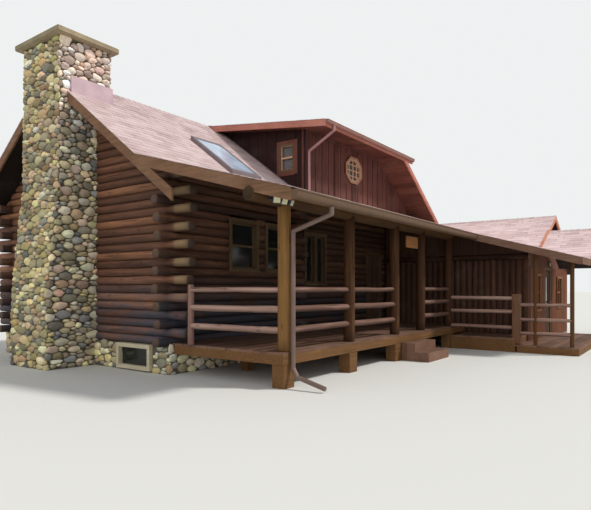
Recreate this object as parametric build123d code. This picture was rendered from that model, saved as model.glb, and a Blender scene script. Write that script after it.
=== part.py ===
"""A log cabin with a cobble chimney, a shed dormer, a roofed porch and a wing.

Lengths are in millimetres. X runs along the ridge, Y from the porch to the back, Z is up.
All numbers count from the near corner of the log walls, at ground level. The parts are
moved when they are saved, so that the origin is the middle of the main block's footprint.
"""
import os

from build123d import *

os.makedirs("parts", exist_ok=True)

# Main block
MAIN_LENGTH = 10000
MAIN_DEPTH = 5640
WALL = 200
FOUNDATION_TOP = 490
FOUNDATION_PROUD = 60
FOUNDATION_WALL = 320
FLOOR = 70

# Logs: the courses are stacked on flats, and every other one passes through the corner.
# Those over the railing reach a little further.
COURSE = 153
GROOVE = 35
EAVE_COURSES = 20
GABLE_COURSES = 34
LONG_WALL_END = 235
CROSS_WALL_END = 395
HIGH_LOGS, HIGH_LOG_EXTRA = 8, 65
LOG_END_STEPS = (0, 30, -25, 15, -10)

# Roofs: the slope is the rise for a run of one
MAIN_PITCH = 0.738
PORCH_PITCH = 0.281
END_PITCH = 0.65
WING_PITCH = 0.5
ROOF = 100
RIDGE_Y = MAIN_DEPTH / 2
BREAK_Y, BREAK_Z = 170, 3725
RAKE_X = -570
END_X, END_Z = MAIN_LENGTH - 2000, 5100
RIGHT_X = MAIN_LENGTH + 350
BACK_EAVE_Y = MAIN_DEPTH + 600
BOARD = 40
MAIN_BARGE = 195
PORCH_BARGE = 180
MAIN_TAIL_Y = -740

# Dormer
DORMER_LEFT = 4100
DORMER_RAKE_X = 3760
DORMER_EAVE_Y, DORMER_EAVE_Z = -750, 5220
DORMER_LIP_X = END_X + 350
DORMER_WALL = 120
DORMER_BARGE = 140

# Porch
DECK_TOP = 545
DECK_BOARD = 40
DECK_LEFT = 50
DECK_FRONT = -2420
DECK_RIM = 185
POST_Y = -2320
POST_XS = (210, 2130, 3970, 5320, MAIN_LENGTH - 2950)
POST_RADIUS = 100
BEAM_RADIUS = 105
BEAM_Z = 2815
BEAM_LEFT = -620
PORCH_EAVE_Y = -3050
GUTTER = 120
GUTTER_TOP = 2790
GUTTER_RIGHT = MAIN_LENGTH - 3240
RAIL_HEIGHTS = (1470, 1170, 860)
RAIL_RADII = (43, 53, 53)
WALK_RAIL = 45
WALK_RAIL_FAR = 41
SMALL_POST = (30, -490)

# Wing
WING_LEFT = MAIN_LENGTH - 1960
WING_RIGHT = MAIN_LENGTH + 3400
WING_FRONT = -4000
WING_BACK = 1200
WING_WALL = 150
WING_FLOOR = 100
WING_HEAD = 2060
WING_PLATE = WING_HEAD + 140
WING_RIDGE_X, WING_RIDGE_Z = MAIN_LENGTH + 700, WING_HEAD + 1510
WING_RAKE_Y = WING_FRONT - 120
WING_ROOF_RIGHT = WING_RIGHT + 350
CANOPY_LEFT = MAIN_LENGTH - 3200
CANOPY_EAVE_Y = -5360
CANOPY_RIDGE_X = WING_LEFT + 1590
CANOPY_RIGHT = MAIN_LENGTH + 1360
LOG_PITCH = 154

# Walkway beside the wing
WALK_X = POST_XS[-1]
WALK_LEFT = WALK_X - 100
LANDING_TOP = 330
LANDING_FRONT = -3960
LOWER_TOP = 180
LOWER_FRONT = -5300
LOWER_RIGHT = MAIN_LENGTH + 1300
NEWEL_TOP = 1360
THIN_POST = 45

# Chimney
STACK_WIDTH = 1330
STACK_RIGHT = 360
STACK_OUTLINE = ((-1030, 0), (-1020, 1300), (-940, 2200), (-800, 3400))
STACK_TOP_X = -770
STACK_OVER_RIDGE = 524
CAP = 111
CAP_PROUD_X, CAP_PROUD_Y = 95, 115
FLUE_X = (-360, -60)
FLUE_WIDTH = 300

# Openings: low and high along the wall, then low and high in Z
FRONT_WINDOWS = ((1500, 2370, 1830, 2865), (2610, 3410, 1830, 2865), (4040, 4960, 1570, 2800))
BACK_WINDOWS = ((2000, 2870, 1830, 2865), (MAIN_LENGTH - 3500, MAIN_LENGTH - 2580, 1830, 2865))
PORCH_DOOR = (MAIN_LENGTH - 2950, MAIN_LENGTH - 2050, FOUNDATION_TOP + FLOOR, 2510)
CROSSING = (3500, 3700)
CROSSING_REACH = 330
BASEMENT_WINDOW = (440, 1390, 30, FOUNDATION_TOP)
DORMER_WINDOW = (330, 760, 4290, 4950)
OCTAGON = (6290, 4625, 860, 700)
WING_WINDOWS = ((WING_LEFT + 810, WING_LEFT + 1290, 900, WING_HEAD - 200),
                (WING_LEFT + 3560, WING_LEFT + 4250, 900, WING_HEAD - 230))
WING_DOOR = (WING_LEFT + 1970, WING_LEFT + 2760, WING_FLOOR, WING_HEAD)
SKYLIGHT = (1880, 2800, 270, 1500)
FRAME = 60
GLASS = 10
DOOR_GAP = 8
DOOR_THICKNESS = 45
KNUCKLE = 9
HINGE_PIN = 5
HINGE_PLAY = 0.05
HINGE_HEIGHTS = (250, 1600)


# Worked-out sizes and roof planes: each gives the height of the upper face at a point

def main_front(x, y):
    return BREAK_Z + MAIN_PITCH * (y - BREAK_Y)


def porch_plane(x, y):
    return BREAK_Z + PORCH_PITCH * (y - BREAK_Y)


RIDGE_Z = main_front(0, RIDGE_Y)
DORMER_PITCH = (RIDGE_Z - DORMER_EAVE_Z) / (RIDGE_Y - DORMER_EAVE_Y)


def main_back(x, y):
    return RIDGE_Z - MAIN_PITCH * (y - RIDGE_Y)


def dormer_plane(x, y):
    return DORMER_EAVE_Z + DORMER_PITCH * (y - DORMER_EAVE_Y)


def end_plane(x, y):
    return END_Z - END_PITCH * (x - END_X)


def wing_left_plane(x, y):
    return WING_RIDGE_Z - WING_PITCH * (WING_RIDGE_X - x)


def wing_right_plane(x, y):
    return WING_RIDGE_Z - WING_PITCH * (x - WING_RIDGE_X)


CANOPY_RIDGE_Z = wing_left_plane(CANOPY_RIDGE_X, 0)


def canopy_right_plane(x, y):
    return CANOPY_RIDGE_Z - WING_PITCH * (x - CANOPY_RIDGE_X)


def valley_x(y):
    return WING_RIDGE_X - (WING_RIDGE_Z - porch_plane(0, y)) / WING_PITCH


HIP_X = END_X - (RIDGE_Z - END_Z) / END_PITCH
HIP_EAVE_X = END_X - (DORMER_EAVE_Z - END_Z) / END_PITCH
HIP_BACK_Y = RIDGE_Y + (RIDGE_Z - end_plane(RIGHT_X, 0)) / MAIN_PITCH
VALLEY_BACK_Y = BREAK_Y - (BREAK_Z - WING_RIDGE_Z) / PORCH_PITCH
LOG_WALL_TOP = FOUNDATION_TOP + EAVE_COURSES * COURSE
STACK_Y0 = RIDGE_Y - STACK_WIDTH / 2
STACK_Y1 = RIDGE_Y + STACK_WIDTH / 2
STACK_TOP = RIDGE_Z + STACK_OVER_RIDGE
FAR = 3 * MAIN_LENGTH
HIGH = 2 * RIDGE_Z


# Small tools

def box(x0, x1, y0, y1, z0, z1):
    corner = (Align.MIN, Align.MIN, Align.MIN)
    return Pos(x0, y0, z0) * Box(x1 - x0, y1 - y0, z1 - z0, align=corner)


def prism(points, direction, length):
    face = Face(Wire.make_polygon([Vector(*p) for p in points], close=True))
    return extrude(face, amount=length, dir=direction)


def slab(plan, plane, thickness=ROOF):
    """A roof slab with upright edges: the plan's corners lifted to the plane."""
    return prism([(x, y, plane(x, y)) for x, y in plan], (0, 0, -1), thickness)


def above(plan, plane):
    """All that lies over the underside of a roof slab."""
    return prism([(x, y, plane(x, y) - ROOF) for x, y in plan], (0, 0, 1), HIGH)


def rod(start, end, radius):
    a, b = Vector(*start), Vector(*end)
    return Solid.make_cylinder(radius, (b - a).length, Plane(origin=a, z_dir=(b - a)))


def pipe(points, radius):
    """A round pipe along straight runs with a ball at each bend."""
    runs = [rod(a, b, radius) for a, b in zip(points, points[1:])]
    bends = [Pos(*p) * Sphere(radius) for p in points[1:-1]]
    result = runs[0]
    for piece in runs[1:] + bends:
        result = result + piece
    return result


def group(*shapes):
    """The solids of all the shapes side by side in one compound."""
    solids = [solid for shape in shapes for solid in shape.solids()]
    return solids[0] if len(solids) == 1 else Compound(solids)


def cut(shape, *tools):
    for tool in tools:
        shape = shape - tool
    return shape


def save(name, shape):
    moved = group(shape).moved(Location((-MAIN_LENGTH / 2, -MAIN_DEPTH / 2, 0)))
    moved.label = name
    export_step(moved, f"parts/{name}.step")


# Logs

def log_face(place, base, first, last):
    """The outline of stacked logs: arcs on both faces, flats where the courses meet.

    place(across, up) gives the point in space.
    """
    levels = [base + COURSE * k for k in range(first, last + 1)]
    edges = []
    for low, high in zip(levels, levels[1:]):
        mid = (low + high) / 2
        edges.append(ThreePointArc(place(GROOVE, low), place(0, mid), place(GROOVE, high)))
    edges.append(Line(place(GROOVE, levels[-1]), place(WALL - GROOVE, levels[-1])))
    for high, low in zip(levels[::-1], levels[-2::-1]):
        mid = (low + high) / 2
        far = WALL - GROOVE
        edges.append(ThreePointArc(place(far, high), place(WALL, mid), place(far, low)))
    edges.append(Line(place(WALL - GROOVE, levels[0]), place(GROOVE, levels[0])))
    return Face(Wire(edges))


def logs_along_x(y, start, end, first, last):
    face = log_face(lambda across, up: (start, y + across, up), FOUNDATION_TOP, first, last)
    return extrude(face, amount=end - start, dir=(1, 0, 0))


def logs_along_y(x, start, end, first, last):
    face = log_face(lambda across, up: (x + across, start, up), FOUNDATION_TOP, first, last)
    return extrude(face, amount=end - start, dir=(0, 1, 0))


def corner_reach(end, course, full=True):
    """How far a passing log runs beyond the corner of the building."""
    return end + LOG_END_STEPS[course % len(LOG_END_STEPS)] if full else 0


def wall_along_x(y, courses, right_corner=True):
    """A wall whose even courses pass both corners and whose odd courses butt."""
    wall = logs_along_x(y, WALL, MAIN_LENGTH - WALL, 0, courses)
    for k in range(0, courses, 2):
        left = logs_along_x(y, -corner_reach(LONG_WALL_END, k), WALL, k, k + 1)
        end = MAIN_LENGTH + corner_reach(LONG_WALL_END, k + 2, right_corner)
        wall = wall + left + logs_along_x(y, MAIN_LENGTH - WALL, end, k, k + 1)
    return wall


def wall_along_y(x, courses, passing, front_corner=True):
    """A wall whose odd courses pass both corners and whose even courses butt."""
    wall = logs_along_y(x, WALL, MAIN_DEPTH - WALL, 0, courses)
    for k in range(1, passing, 2):
        reach = CROSS_WALL_END + (HIGH_LOG_EXTRA if k > HIGH_LOGS else 0)
        front = logs_along_y(x, -corner_reach(reach, k + 1, front_corner), WALL, k, k + 1)
        end = MAIN_DEPTH + corner_reach(reach, k + 3)
        wall = wall + front + logs_along_y(x, MAIN_DEPTH - WALL, end, k, k + 1)
    return wall


# Windows

def ring_x(x0, x1, z0, z1, y0, y1, width=FRAME):
    """A rectangular frame in a wall that runs along X."""
    inner = box(x0 + width, x1 - width, y0 - 1, y1 + 1, z0 + width, z1 - width)
    return box(x0, x1, y0, y1, z0, z1) - inner


def ring_y(y0, y1, z0, z1, x0, x1, width=FRAME):
    """A rectangular frame in a wall that runs along Y."""
    inner = box(x0 - 1, x1 + 1, y0 + width, y1 - width, z0 + width, z1 - width)
    return box(x0, x1, y0, y1, z0, z1) - inner


def pane_x(x0, x1, z0, z1, y, width=FRAME):
    return box(x0 + width, x1 - width, y, y + GLASS, z0 + width, z1 - width)


def octagon_prism(grow, y0, y1):
    cx, cz, wide, high = OCTAGON
    a, b = wide / 2 + grow, high / 2 + grow
    cut_a, cut_b = 0.42 * a, 0.42 * b
    points = [(cx - a, cz - cut_b), (cx - a, cz + cut_b), (cx - cut_a, cz + b), (cx + cut_a, cz + b),
              (cx + a, cz + cut_b), (cx + a, cz - cut_b), (cx + cut_a, cz - b), (cx - cut_a, cz - b)]
    return prism([(x, y0, z) for x, z in points], (0, 1, 0), y1 - y0)


# Roof slabs

skylight_hole = box(SKYLIGHT[0], SKYLIGHT[1], SKYLIGHT[2], SKYLIGHT[3], LOG_WALL_TOP, HIGH)
stack_outline = STACK_OUTLINE + ((STACK_TOP_X, STACK_TOP), (STACK_RIGHT, STACK_TOP), (STACK_RIGHT, 0))
stack = prism([(x, STACK_Y0, z) for x, z in stack_outline], (0, 1, 0), STACK_WIDTH)

FRONT_PLAN = [(RAKE_X, BREAK_Y), (DORMER_LEFT, BREAK_Y), (DORMER_LEFT, RIDGE_Y), (RAKE_X, RIDGE_Y)]
BACK_PLAN = [(RAKE_X, RIDGE_Y), (HIP_X, RIDGE_Y), (RIGHT_X, HIP_BACK_Y), (RIGHT_X, BACK_EAVE_Y),
             (RAKE_X, BACK_EAVE_Y)]
DORMER_PLAN = [(DORMER_RAKE_X, DORMER_EAVE_Y), (DORMER_LIP_X, DORMER_EAVE_Y), (HIP_X, RIDGE_Y),
               (DORMER_RAKE_X, RIDGE_Y)]
END_PLAN = [(HIP_EAVE_X, DORMER_EAVE_Y), (RIGHT_X, DORMER_EAVE_Y), (RIGHT_X, HIP_BACK_Y),
            (HIP_X, RIDGE_Y)]
PORCH_PLAN = [(RAKE_X, PORCH_EAVE_Y), (CANOPY_LEFT, PORCH_EAVE_Y), (CANOPY_LEFT, 0), (DORMER_LEFT, 0),
              (DORMER_LEFT, BREAK_Y), (RAKE_X, BREAK_Y)]
CANOPY_PLAN = [(CANOPY_LEFT, CANOPY_EAVE_Y), (valley_x(CANOPY_EAVE_Y), CANOPY_EAVE_Y),
               (WING_RIDGE_X, VALLEY_BACK_Y), (WING_RIDGE_X, BREAK_Y), (MAIN_LENGTH, BREAK_Y),
               (MAIN_LENGTH, 0), (CANOPY_LEFT, 0)]
WING_LEFT_PLAN = [(valley_x(CANOPY_EAVE_Y), CANOPY_EAVE_Y), (CANOPY_RIDGE_X, CANOPY_EAVE_Y),
                  (CANOPY_RIDGE_X, WING_RAKE_Y), (WING_RIDGE_X, WING_RAKE_Y),
                  (WING_RIDGE_X, VALLEY_BACK_Y)]
WING_BACK_PLAN = [(MAIN_LENGTH, BREAK_Y), (WING_RIDGE_X, BREAK_Y), (WING_RIDGE_X, WING_BACK + 150),
                  (MAIN_LENGTH, WING_BACK + 150)]
WING_RIGHT_PLAN = [(WING_RIDGE_X, WING_RAKE_Y), (WING_ROOF_RIGHT, WING_RAKE_Y),
                   (WING_ROOF_RIGHT, WING_BACK + 150), (WING_RIDGE_X, WING_BACK + 150)]
CANOPY_RIGHT_PLAN = [(CANOPY_RIDGE_X, CANOPY_EAVE_Y), (CANOPY_RIGHT, CANOPY_EAVE_Y),
                     (CANOPY_RIGHT, WING_RAKE_Y), (CANOPY_RIDGE_X, WING_RAKE_Y)]

front_slab = cut(slab(FRONT_PLAN, main_front), skylight_hole, stack)
back_slab = cut(slab(BACK_PLAN, main_back), stack)
dormer_slab = cut(slab(DORMER_PLAN, dormer_plane), front_slab)
low_front_plan = [(-FAR, PORCH_EAVE_Y), (FAR, PORCH_EAVE_Y), (FAR, BREAK_Y), (-FAR, BREAK_Y)]
under_porch_plane = slab(low_front_plan, porch_plane, BREAK_Z / 2)
end_slab = cut(slab(END_PLAN, end_plane), dormer_slab, under_porch_plane)
porch_slab = slab(PORCH_PLAN, porch_plane)
canopy_slab = slab(CANOPY_PLAN, porch_plane)
wing_left_slab = slab(WING_LEFT_PLAN, wing_left_plane)
wing_back_slab = slab(WING_BACK_PLAN, wing_left_plane)
wing_right_slab = slab(WING_RIGHT_PLAN, wing_right_plane)
canopy_right_slab = slab(CANOPY_RIGHT_PLAN, canopy_right_plane)

save("main_roof_front", front_slab)
save("main_roof_back", back_slab)
save("dormer_roof", dormer_slab)
save("end_roof", end_slab)
save("porch_roof", porch_slab)
save("canopy_roof", canopy_slab)
save("wing_roof_left", group(wing_left_slab, wing_back_slab))
save("wing_roof_right", group(wing_right_slab, canopy_right_slab))

# Chimney

flue_y = RIDGE_Y - FLUE_WIDTH / 2
flue = box(*FLUE_X, flue_y, flue_y + FLUE_WIDTH, RIDGE_Z, HIGH)
cap = box(STACK_TOP_X - CAP_PROUD_X, STACK_RIGHT + CAP_PROUD_X, STACK_Y0 - CAP_PROUD_Y, STACK_Y1 + CAP_PROUD_Y,
          STACK_TOP, STACK_TOP + CAP)
roof_at_stack = main_front(0, STACK_Y0)
flashing = box(-540, STACK_RIGHT, STACK_Y0 - 30, STACK_Y0, roof_at_stack - 90, roof_at_stack + 310) - front_slab
apron_plan = [(-540, STACK_Y0 - 175), (STACK_RIGHT, STACK_Y0 - 175), (STACK_RIGHT, STACK_Y0 - 30),
              (-540, STACK_Y0 - 30)]
apron = prism([(x, y, main_front(x, y)) for x, y in apron_plan], (0, 0, 1), 8)
save("chimney_stack", stack - flue)
save("chimney_cap", cap - flue)
save("chimney_flashing", flashing + apron)

# Foundation and floors

outer = FOUNDATION_PROUD
inner = FOUNDATION_WALL - FOUNDATION_PROUD
foundation = box(-outer, MAIN_LENGTH + outer, -outer, MAIN_DEPTH + outer, 0, FOUNDATION_TOP)
cellar = box(inner, MAIN_LENGTH - inner, inner, MAIN_DEPTH - inner, 100, FOUNDATION_TOP)
basement_hole = box(-200, 400, BASEMENT_WINDOW[0], BASEMENT_WINDOW[1], BASEMENT_WINDOW[2], FOUNDATION_TOP)
save("foundation", cut(foundation, cellar, basement_hole, stack))
floor = box(WALL, MAIN_LENGTH - WALL, WALL, MAIN_DEPTH - WALL, FOUNDATION_TOP, FOUNDATION_TOP + FLOOR)
save("main_floor", floor - stack)
wing_slab = box(WING_LEFT, WING_RIGHT, WING_FRONT, -outer, 0, WING_FLOOR)
wing_slab += box(MAIN_LENGTH + outer, WING_RIGHT, -outer, WING_BACK, 0, WING_FLOOR)
save("wing_floor", wing_slab)

# Log walls of the main block

big_front = [(-FAR, BREAK_Y), (FAR, BREAK_Y), (FAR, RIDGE_Y), (-FAR, RIDGE_Y)]
big_back = [(-FAR, RIDGE_Y), (FAR, RIDGE_Y), (FAR, 2 * MAIN_DEPTH), (-FAR, 2 * MAIN_DEPTH)]
big_end = [(HIP_X, PORCH_EAVE_Y), (FAR, PORCH_EAVE_Y), (FAR, 2 * MAIN_DEPTH), (HIP_X, 2 * MAIN_DEPTH)]
over_front = above(big_front, main_front)
over_back = above(big_back, main_back)
over_porch = above(low_front_plan, porch_plane)
over_end = above(big_end, end_plane)

gable_wall = wall_along_y(0, GABLE_COURSES, EAVE_COURSES)
gable_wall = cut(gable_wall, over_front, over_back, over_porch, stack)
save("gable_log_wall", gable_wall)

front_wall = wall_along_x(0, EAVE_COURSES, right_corner=False)
plate = box(WALL, DORMER_LEFT, GROOVE, WALL - GROOVE, LOG_WALL_TOP, LOG_WALL_TOP + 2 * COURSE)
plate = cut(plate, over_porch, over_front)
crossing = None
for k in range(EAVE_COURSES - 1):
    reach = CROSSING_REACH + LOG_END_STEPS[k % 5]
    if k % 2:
        piece = logs_along_y(CROSSING[0], -reach, 0, k, k + 1)
        crossing = piece if crossing is None else crossing + piece
for x0, x1, z0, z1 in FRONT_WINDOWS:
    front_wall = front_wall - box(x0, x1, -2 * WALL, 2 * WALL, z0, z1)
door_x0, door_x1, door_z0, door_z1 = PORCH_DOOR
left_front = (front_wall - box(door_x0, FAR, -2 * WALL, 2 * WALL, 0, HIGH)) + plate
right_front = front_wall & box(door_x1, FAR, -2 * WALL, 2 * WALL, 0, HIGH)
save("front_log_wall", group(left_front, right_front))
save("front_wall_over_door", front_wall & box(door_x0, door_x1, -2 * WALL, 2 * WALL, door_z1, HIGH))
save("crossing_log_ends", cut(crossing, front_wall))

back_wall = Pos(0, MAIN_DEPTH - WALL, 0) * wall_along_x(0, EAVE_COURSES, right_corner=True)
back_wall = cut(back_wall, over_back, over_end)
for x0, x1, z0, z1 in BACK_WINDOWS:
    back_wall = back_wall - box(x0, x1, MAIN_DEPTH - 2 * WALL, MAIN_DEPTH + 2 * WALL, z0, z1)
save("back_log_wall", back_wall)
right_wall = wall_along_y(MAIN_LENGTH - WALL, EAVE_COURSES + 2, EAVE_COURSES, front_corner=False)
over_dormer_wall = box(MAIN_LENGTH - 2 * WALL, FAR, -2 * CROSS_WALL_END, DORMER_WALL, LOG_WALL_TOP, HIGH)
right_wall = cut(right_wall, over_back, over_end, over_dormer_wall)
save("right_log_wall", right_wall)

# Barge boards of the main roof

def barge(points_top, depth, x):
    low = [(y, z - depth) for y, z in points_top[::-1]]
    return prism([(x, y, z) for y, z in list(points_top) + low], (1, 0, 0), BOARD)


ridge_point = (RIDGE_Y, RIDGE_Z)
front_barge = barge([ridge_point, (MAIN_TAIL_Y, main_front(0, MAIN_TAIL_Y))], MAIN_BARGE, RAKE_X - BOARD)
back_barge = barge([ridge_point, (BACK_EAVE_Y, main_back(0, BACK_EAVE_Y))], MAIN_BARGE, RAKE_X - BOARD)
porch_barge = barge([(BREAK_Y, BREAK_Z), (PORCH_EAVE_Y, porch_plane(0, PORCH_EAVE_Y))], PORCH_BARGE,
                    RAKE_X - BOARD)
back_fascia_z = main_back(0, BACK_EAVE_Y)
back_fascia = box(RAKE_X - BOARD, RIGHT_X, BACK_EAVE_Y, BACK_EAVE_Y + 30, back_fascia_z - 180,
                  back_fascia_z)
beam = rod((BEAM_LEFT, POST_Y, BEAM_Z), (POST_XS[-1] + 120, POST_Y, BEAM_Z), BEAM_RADIUS)
save("barge_boards", cut(front_barge + back_barge + porch_barge + back_fascia, stack, beam))

# Skylight

sky_plan = [(SKYLIGHT[0], SKYLIGHT[2]), (SKYLIGHT[1], SKYLIGHT[2]), (SKYLIGHT[1], SKYLIGHT[3]),
            (SKYLIGHT[0], SKYLIGHT[3])]
curb = prism([(x, y, main_front(x, y) + 110) for x, y in sky_plan], (0, 0, -1), 210)
sky_inner = box(SKYLIGHT[0] + 80, SKYLIGHT[1] - 80, SKYLIGHT[2] + 80, SKYLIGHT[3] - 80, LOG_WALL_TOP, HIGH)
sky_glass = prism([(x, y, main_front(x, y) + 100) for x, y in sky_plan], (0, 0, -1), GLASS) & sky_inner
save("skylight_curb", curb - sky_inner)
save("skylight_glass", sky_glass)

# Dormer

over_dormer = above([(0, PORCH_EAVE_Y), (FAR, PORCH_EAVE_Y), (FAR, RIDGE_Y), (0, RIDGE_Y)], dormer_plane)
dormer_front = box(DORMER_LEFT, MAIN_LENGTH, 0, DORMER_WALL, LOG_WALL_TOP, RIDGE_Z)
dormer_front = cut(dormer_front, over_dormer, over_end, octagon_prism(0, -100, 300))
side_points = [(DORMER_WALL, main_front(0, DORMER_WALL) - ROOF), (RIDGE_Y, RIDGE_Z - ROOF),
               (DORMER_WALL, dormer_plane(0, DORMER_WALL) - ROOF)]
dormer_side = prism([(DORMER_LEFT, y, z) for y, z in side_points], (1, 0, 0), DORMER_WALL)
wy0, wy1, wz0, wz1 = DORMER_WINDOW
dormer_side = dormer_side - box(DORMER_LEFT - 100, DORMER_LEFT + 400, wy0, wy1, wz0, wz1)
save("dormer_front_wall", dormer_front)
save("dormer_side_wall", dormer_side)

dormer_left_barge = barge([(RIDGE_Y, RIDGE_Z), (DORMER_EAVE_Y, DORMER_EAVE_Z)], DORMER_BARGE,
                          DORMER_RAKE_X - BOARD)
dormer_left_barge = cut(dormer_left_barge, front_slab, back_slab)
eave_board = box(DORMER_RAKE_X - BOARD, DORMER_LIP_X, DORMER_EAVE_Y - BOARD, DORMER_EAVE_Y,
                 DORMER_EAVE_Z - DORMER_BARGE, DORMER_EAVE_Z)
end_points = [(HIP_EAVE_X, DORMER_EAVE_Z), (RIGHT_X, end_plane(RIGHT_X, 0))]
end_points = end_points + [(x, z - DORMER_BARGE) for x, z in end_points[::-1]]
end_board = prism([(x, DORMER_EAVE_Y - BOARD, z) for x, z in end_points], (0, 1, 0), BOARD)
save("dormer_fascia", dormer_left_barge + eave_board + (end_board - under_porch_plane))

gutter_y = DORMER_EAVE_Y - BOARD
gutter_z = DORMER_EAVE_Z - 90
dormer_gutter = box(DORMER_RAKE_X - BOARD, DORMER_LIP_X, gutter_y - 70, gutter_y, gutter_z, gutter_z + 85)
dormer_gutter -= box(DORMER_RAKE_X, DORMER_LIP_X - 30, gutter_y - 60, gutter_y - 10, gutter_z + 10,
                     DORMER_EAVE_Z + 80)
spout_low = (DORMER_LEFT + 65, -45, porch_plane(0, -45) + 20)
spout_top = (DORMER_LEFT - 80, gutter_y - 35, gutter_z)
dormer_spout = pipe([spout_top, (spout_top[0], spout_top[1], gutter_z - 100),
                     (DORMER_LEFT + 65, -45, gutter_z - 420), spout_low], 32)

oct_frame = octagon_prism(0, -25, DORMER_WALL) - octagon_prism(-50, -100, 300)
side_frame = ring_y(wy0, wy1, wz0, wz1, DORMER_LEFT - 25, DORMER_LEFT + DORMER_WALL, 50)
side_glass = box(DORMER_LEFT + 50, DORMER_LEFT + 50 + GLASS, wy0 + 50, wy1 - 50, wz0 + 50, wz1 - 50)
dormer_glass = group(octagon_prism(-50, 40, 40 + GLASS), side_glass)

# Windows of the log walls

front_frames = []
front_panes = []
for index, (x0, x1, z0, z1) in enumerate(FRONT_WINDOWS):
    window = ring_x(x0, x1, z0, z1, -20, WALL)
    pane = pane_x(x0, x1, z0, z1, 90)
    if index == 2:
        middle = (x0 + x1) / 2
        mullion = box(middle - 45, middle + 45, -20, WALL, z0 + FRAME, z1 - FRAME)
        window = window + mullion
        pane = pane - mullion
    front_frames.append(window)
    front_panes.append(pane)
back_y = MAIN_DEPTH - WALL
back_frames = [ring_x(x0, x1, z0, z1, back_y, MAIN_DEPTH + 20) for x0, x1, z0, z1 in BACK_WINDOWS]
back_panes = [pane_x(x0, x1, z0, z1, back_y + 90) for x0, x1, z0, z1 in BACK_WINDOWS]
by0, by1, bz0, bz1 = BASEMENT_WINDOW
save("basement_frame", ring_y(by0, by1, bz0, bz1, -90, 120, 70))
basement_glass = box(0, GLASS, by0 + 70, by1 - 70, bz0 + 70, bz1 - 70)

# Porch

save("porch_beam", beam)
posts = [rod((x, POST_Y, DECK_TOP), (x, POST_Y, BEAM_Z), POST_RADIUS) - beam for x in POST_XS]
small_post = rod((*SMALL_POST, DECK_TOP), (*SMALL_POST, 1560), 48)
save("porch_posts", group(*posts, small_post))
rails = []
for z, radius in zip(RAIL_HEIGHTS, RAIL_RADII):
    for a, b in ((0, 1), (1, 2), (3, 4)):
        rail = rod((POST_XS[a], POST_Y, z), (POST_XS[b], POST_Y, z), radius)
        rails.append(cut(rail, posts[a], posts[b]))
    side = rod((*SMALL_POST, z), (POST_XS[0], POST_Y, z), radius)
    rails.append(cut(side, posts[0], small_post))
save("porch_rails", group(*rails))
deck = box(DECK_LEFT, WING_LEFT, DECK_FRONT, 0, DECK_TOP - DECK_BOARD, DECK_TOP)
deck = cut(deck, gable_wall, crossing, front_wall)
rim_low, rim_high = DECK_TOP - DECK_RIM, DECK_TOP - DECK_BOARD
rim = box(DECK_LEFT, WING_LEFT, DECK_FRONT, -outer, rim_low, rim_high)
rim = rim - box(DECK_LEFT + 50, WING_LEFT - 50, DECK_FRONT + 50, -outer - 50, 0, 600)
joists = round((WING_LEFT - DECK_LEFT) / 1200)
for k in range(1, joists):
    x = DECK_LEFT + (WING_LEFT - DECK_LEFT) * k / joists
    rim = rim + box(x - 25, x + 25, DECK_FRONT + 50, -outer - 50, rim_low, rim_high)
save("porch_deck", deck)
for x in POST_XS:
    rim = rim + box(x - 130, x + 130, POST_Y - 90, POST_Y + 130, 0, rim_low)
for k in (1, 3, 5):
    x = DECK_LEFT + (WING_LEFT - DECK_LEFT) * k / joists
    rim = rim + box(x - 80, x + 80, -800, -640, 0, rim_low)
save("deck_frame", rim)
step_points = [(DECK_FRONT, 0), (DECK_FRONT, 365), (DECK_FRONT - 300, 365), (DECK_FRONT - 300, 185),
               (DECK_FRONT - 600, 185), (DECK_FRONT - 600, 0)]
step_x = POST_XS[2] + 130
save("porch_steps", prism([(step_x, y, z) for y, z in step_points], (1, 0, 0), POST_XS[3] - 130 - step_x))

gutter_front = PORCH_EAVE_Y - GUTTER
gutter = box(RAKE_X - BOARD, GUTTER_RIGHT - 10, gutter_front, PORCH_EAVE_Y, GUTTER_TOP - 130, GUTTER_TOP)
gutter -= box(RAKE_X - BOARD + 10, GUTTER_RIGHT - 20, gutter_front + 10, PORCH_EAVE_Y - 10,
              GUTTER_TOP - 120, GUTTER_TOP + 10)
spout_x, spout_y = 240, DECK_FRONT - 45
spout = pipe([(290, gutter_front + 60, GUTTER_TOP - 130), (290, gutter_front + 60, 2560),
              (spout_x, spout_y, 2350), (spout_x, spout_y, 300), (210, spout_y - 100, 180),
              (200, DECK_FRONT - 640, 60)], 35)
save("gutters", group(gutter, dormer_gutter))
save("downspouts", group(spout, dormer_spout))

plaque = box(4540, 5140, POST_Y - 15, POST_Y + 15, 2380, 2630)
hooks = [rod((x, POST_Y, 2630), (x, POST_Y, BEAM_Z), 8) - beam for x in (4650, 5030)]
save("plaque", plaque + hooks[0] + hooks[1])
lamp = box(-60, 180, POST_Y - 130, POST_Y - BEAM_RADIUS, 2770, 2850)
for x, dx in ((-40, -70), (60, 0), (160, 70)):
    lamp = lamp + rod((x, POST_Y - 140, 2810), (x + dx, POST_Y - 260, 2760), 48)
lantern_x = (WING_DOOR[0] + WING_DOOR[1]) / 2
lantern = box(lantern_x - 40, lantern_x + 40, WING_FRONT - 100, WING_FRONT, WING_HEAD + 50, WING_HEAD + 200)
save("lamps", group(lamp, lantern))

# Wing walls

over_canopy = above(CANOPY_PLAN, porch_plane)
over_wing_left = above(WING_LEFT_PLAN, wing_left_plane)
over_wing_back = above(WING_BACK_PLAN, wing_left_plane)
over_wing_right = above(WING_RIGHT_PLAN, wing_right_plane)

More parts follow.
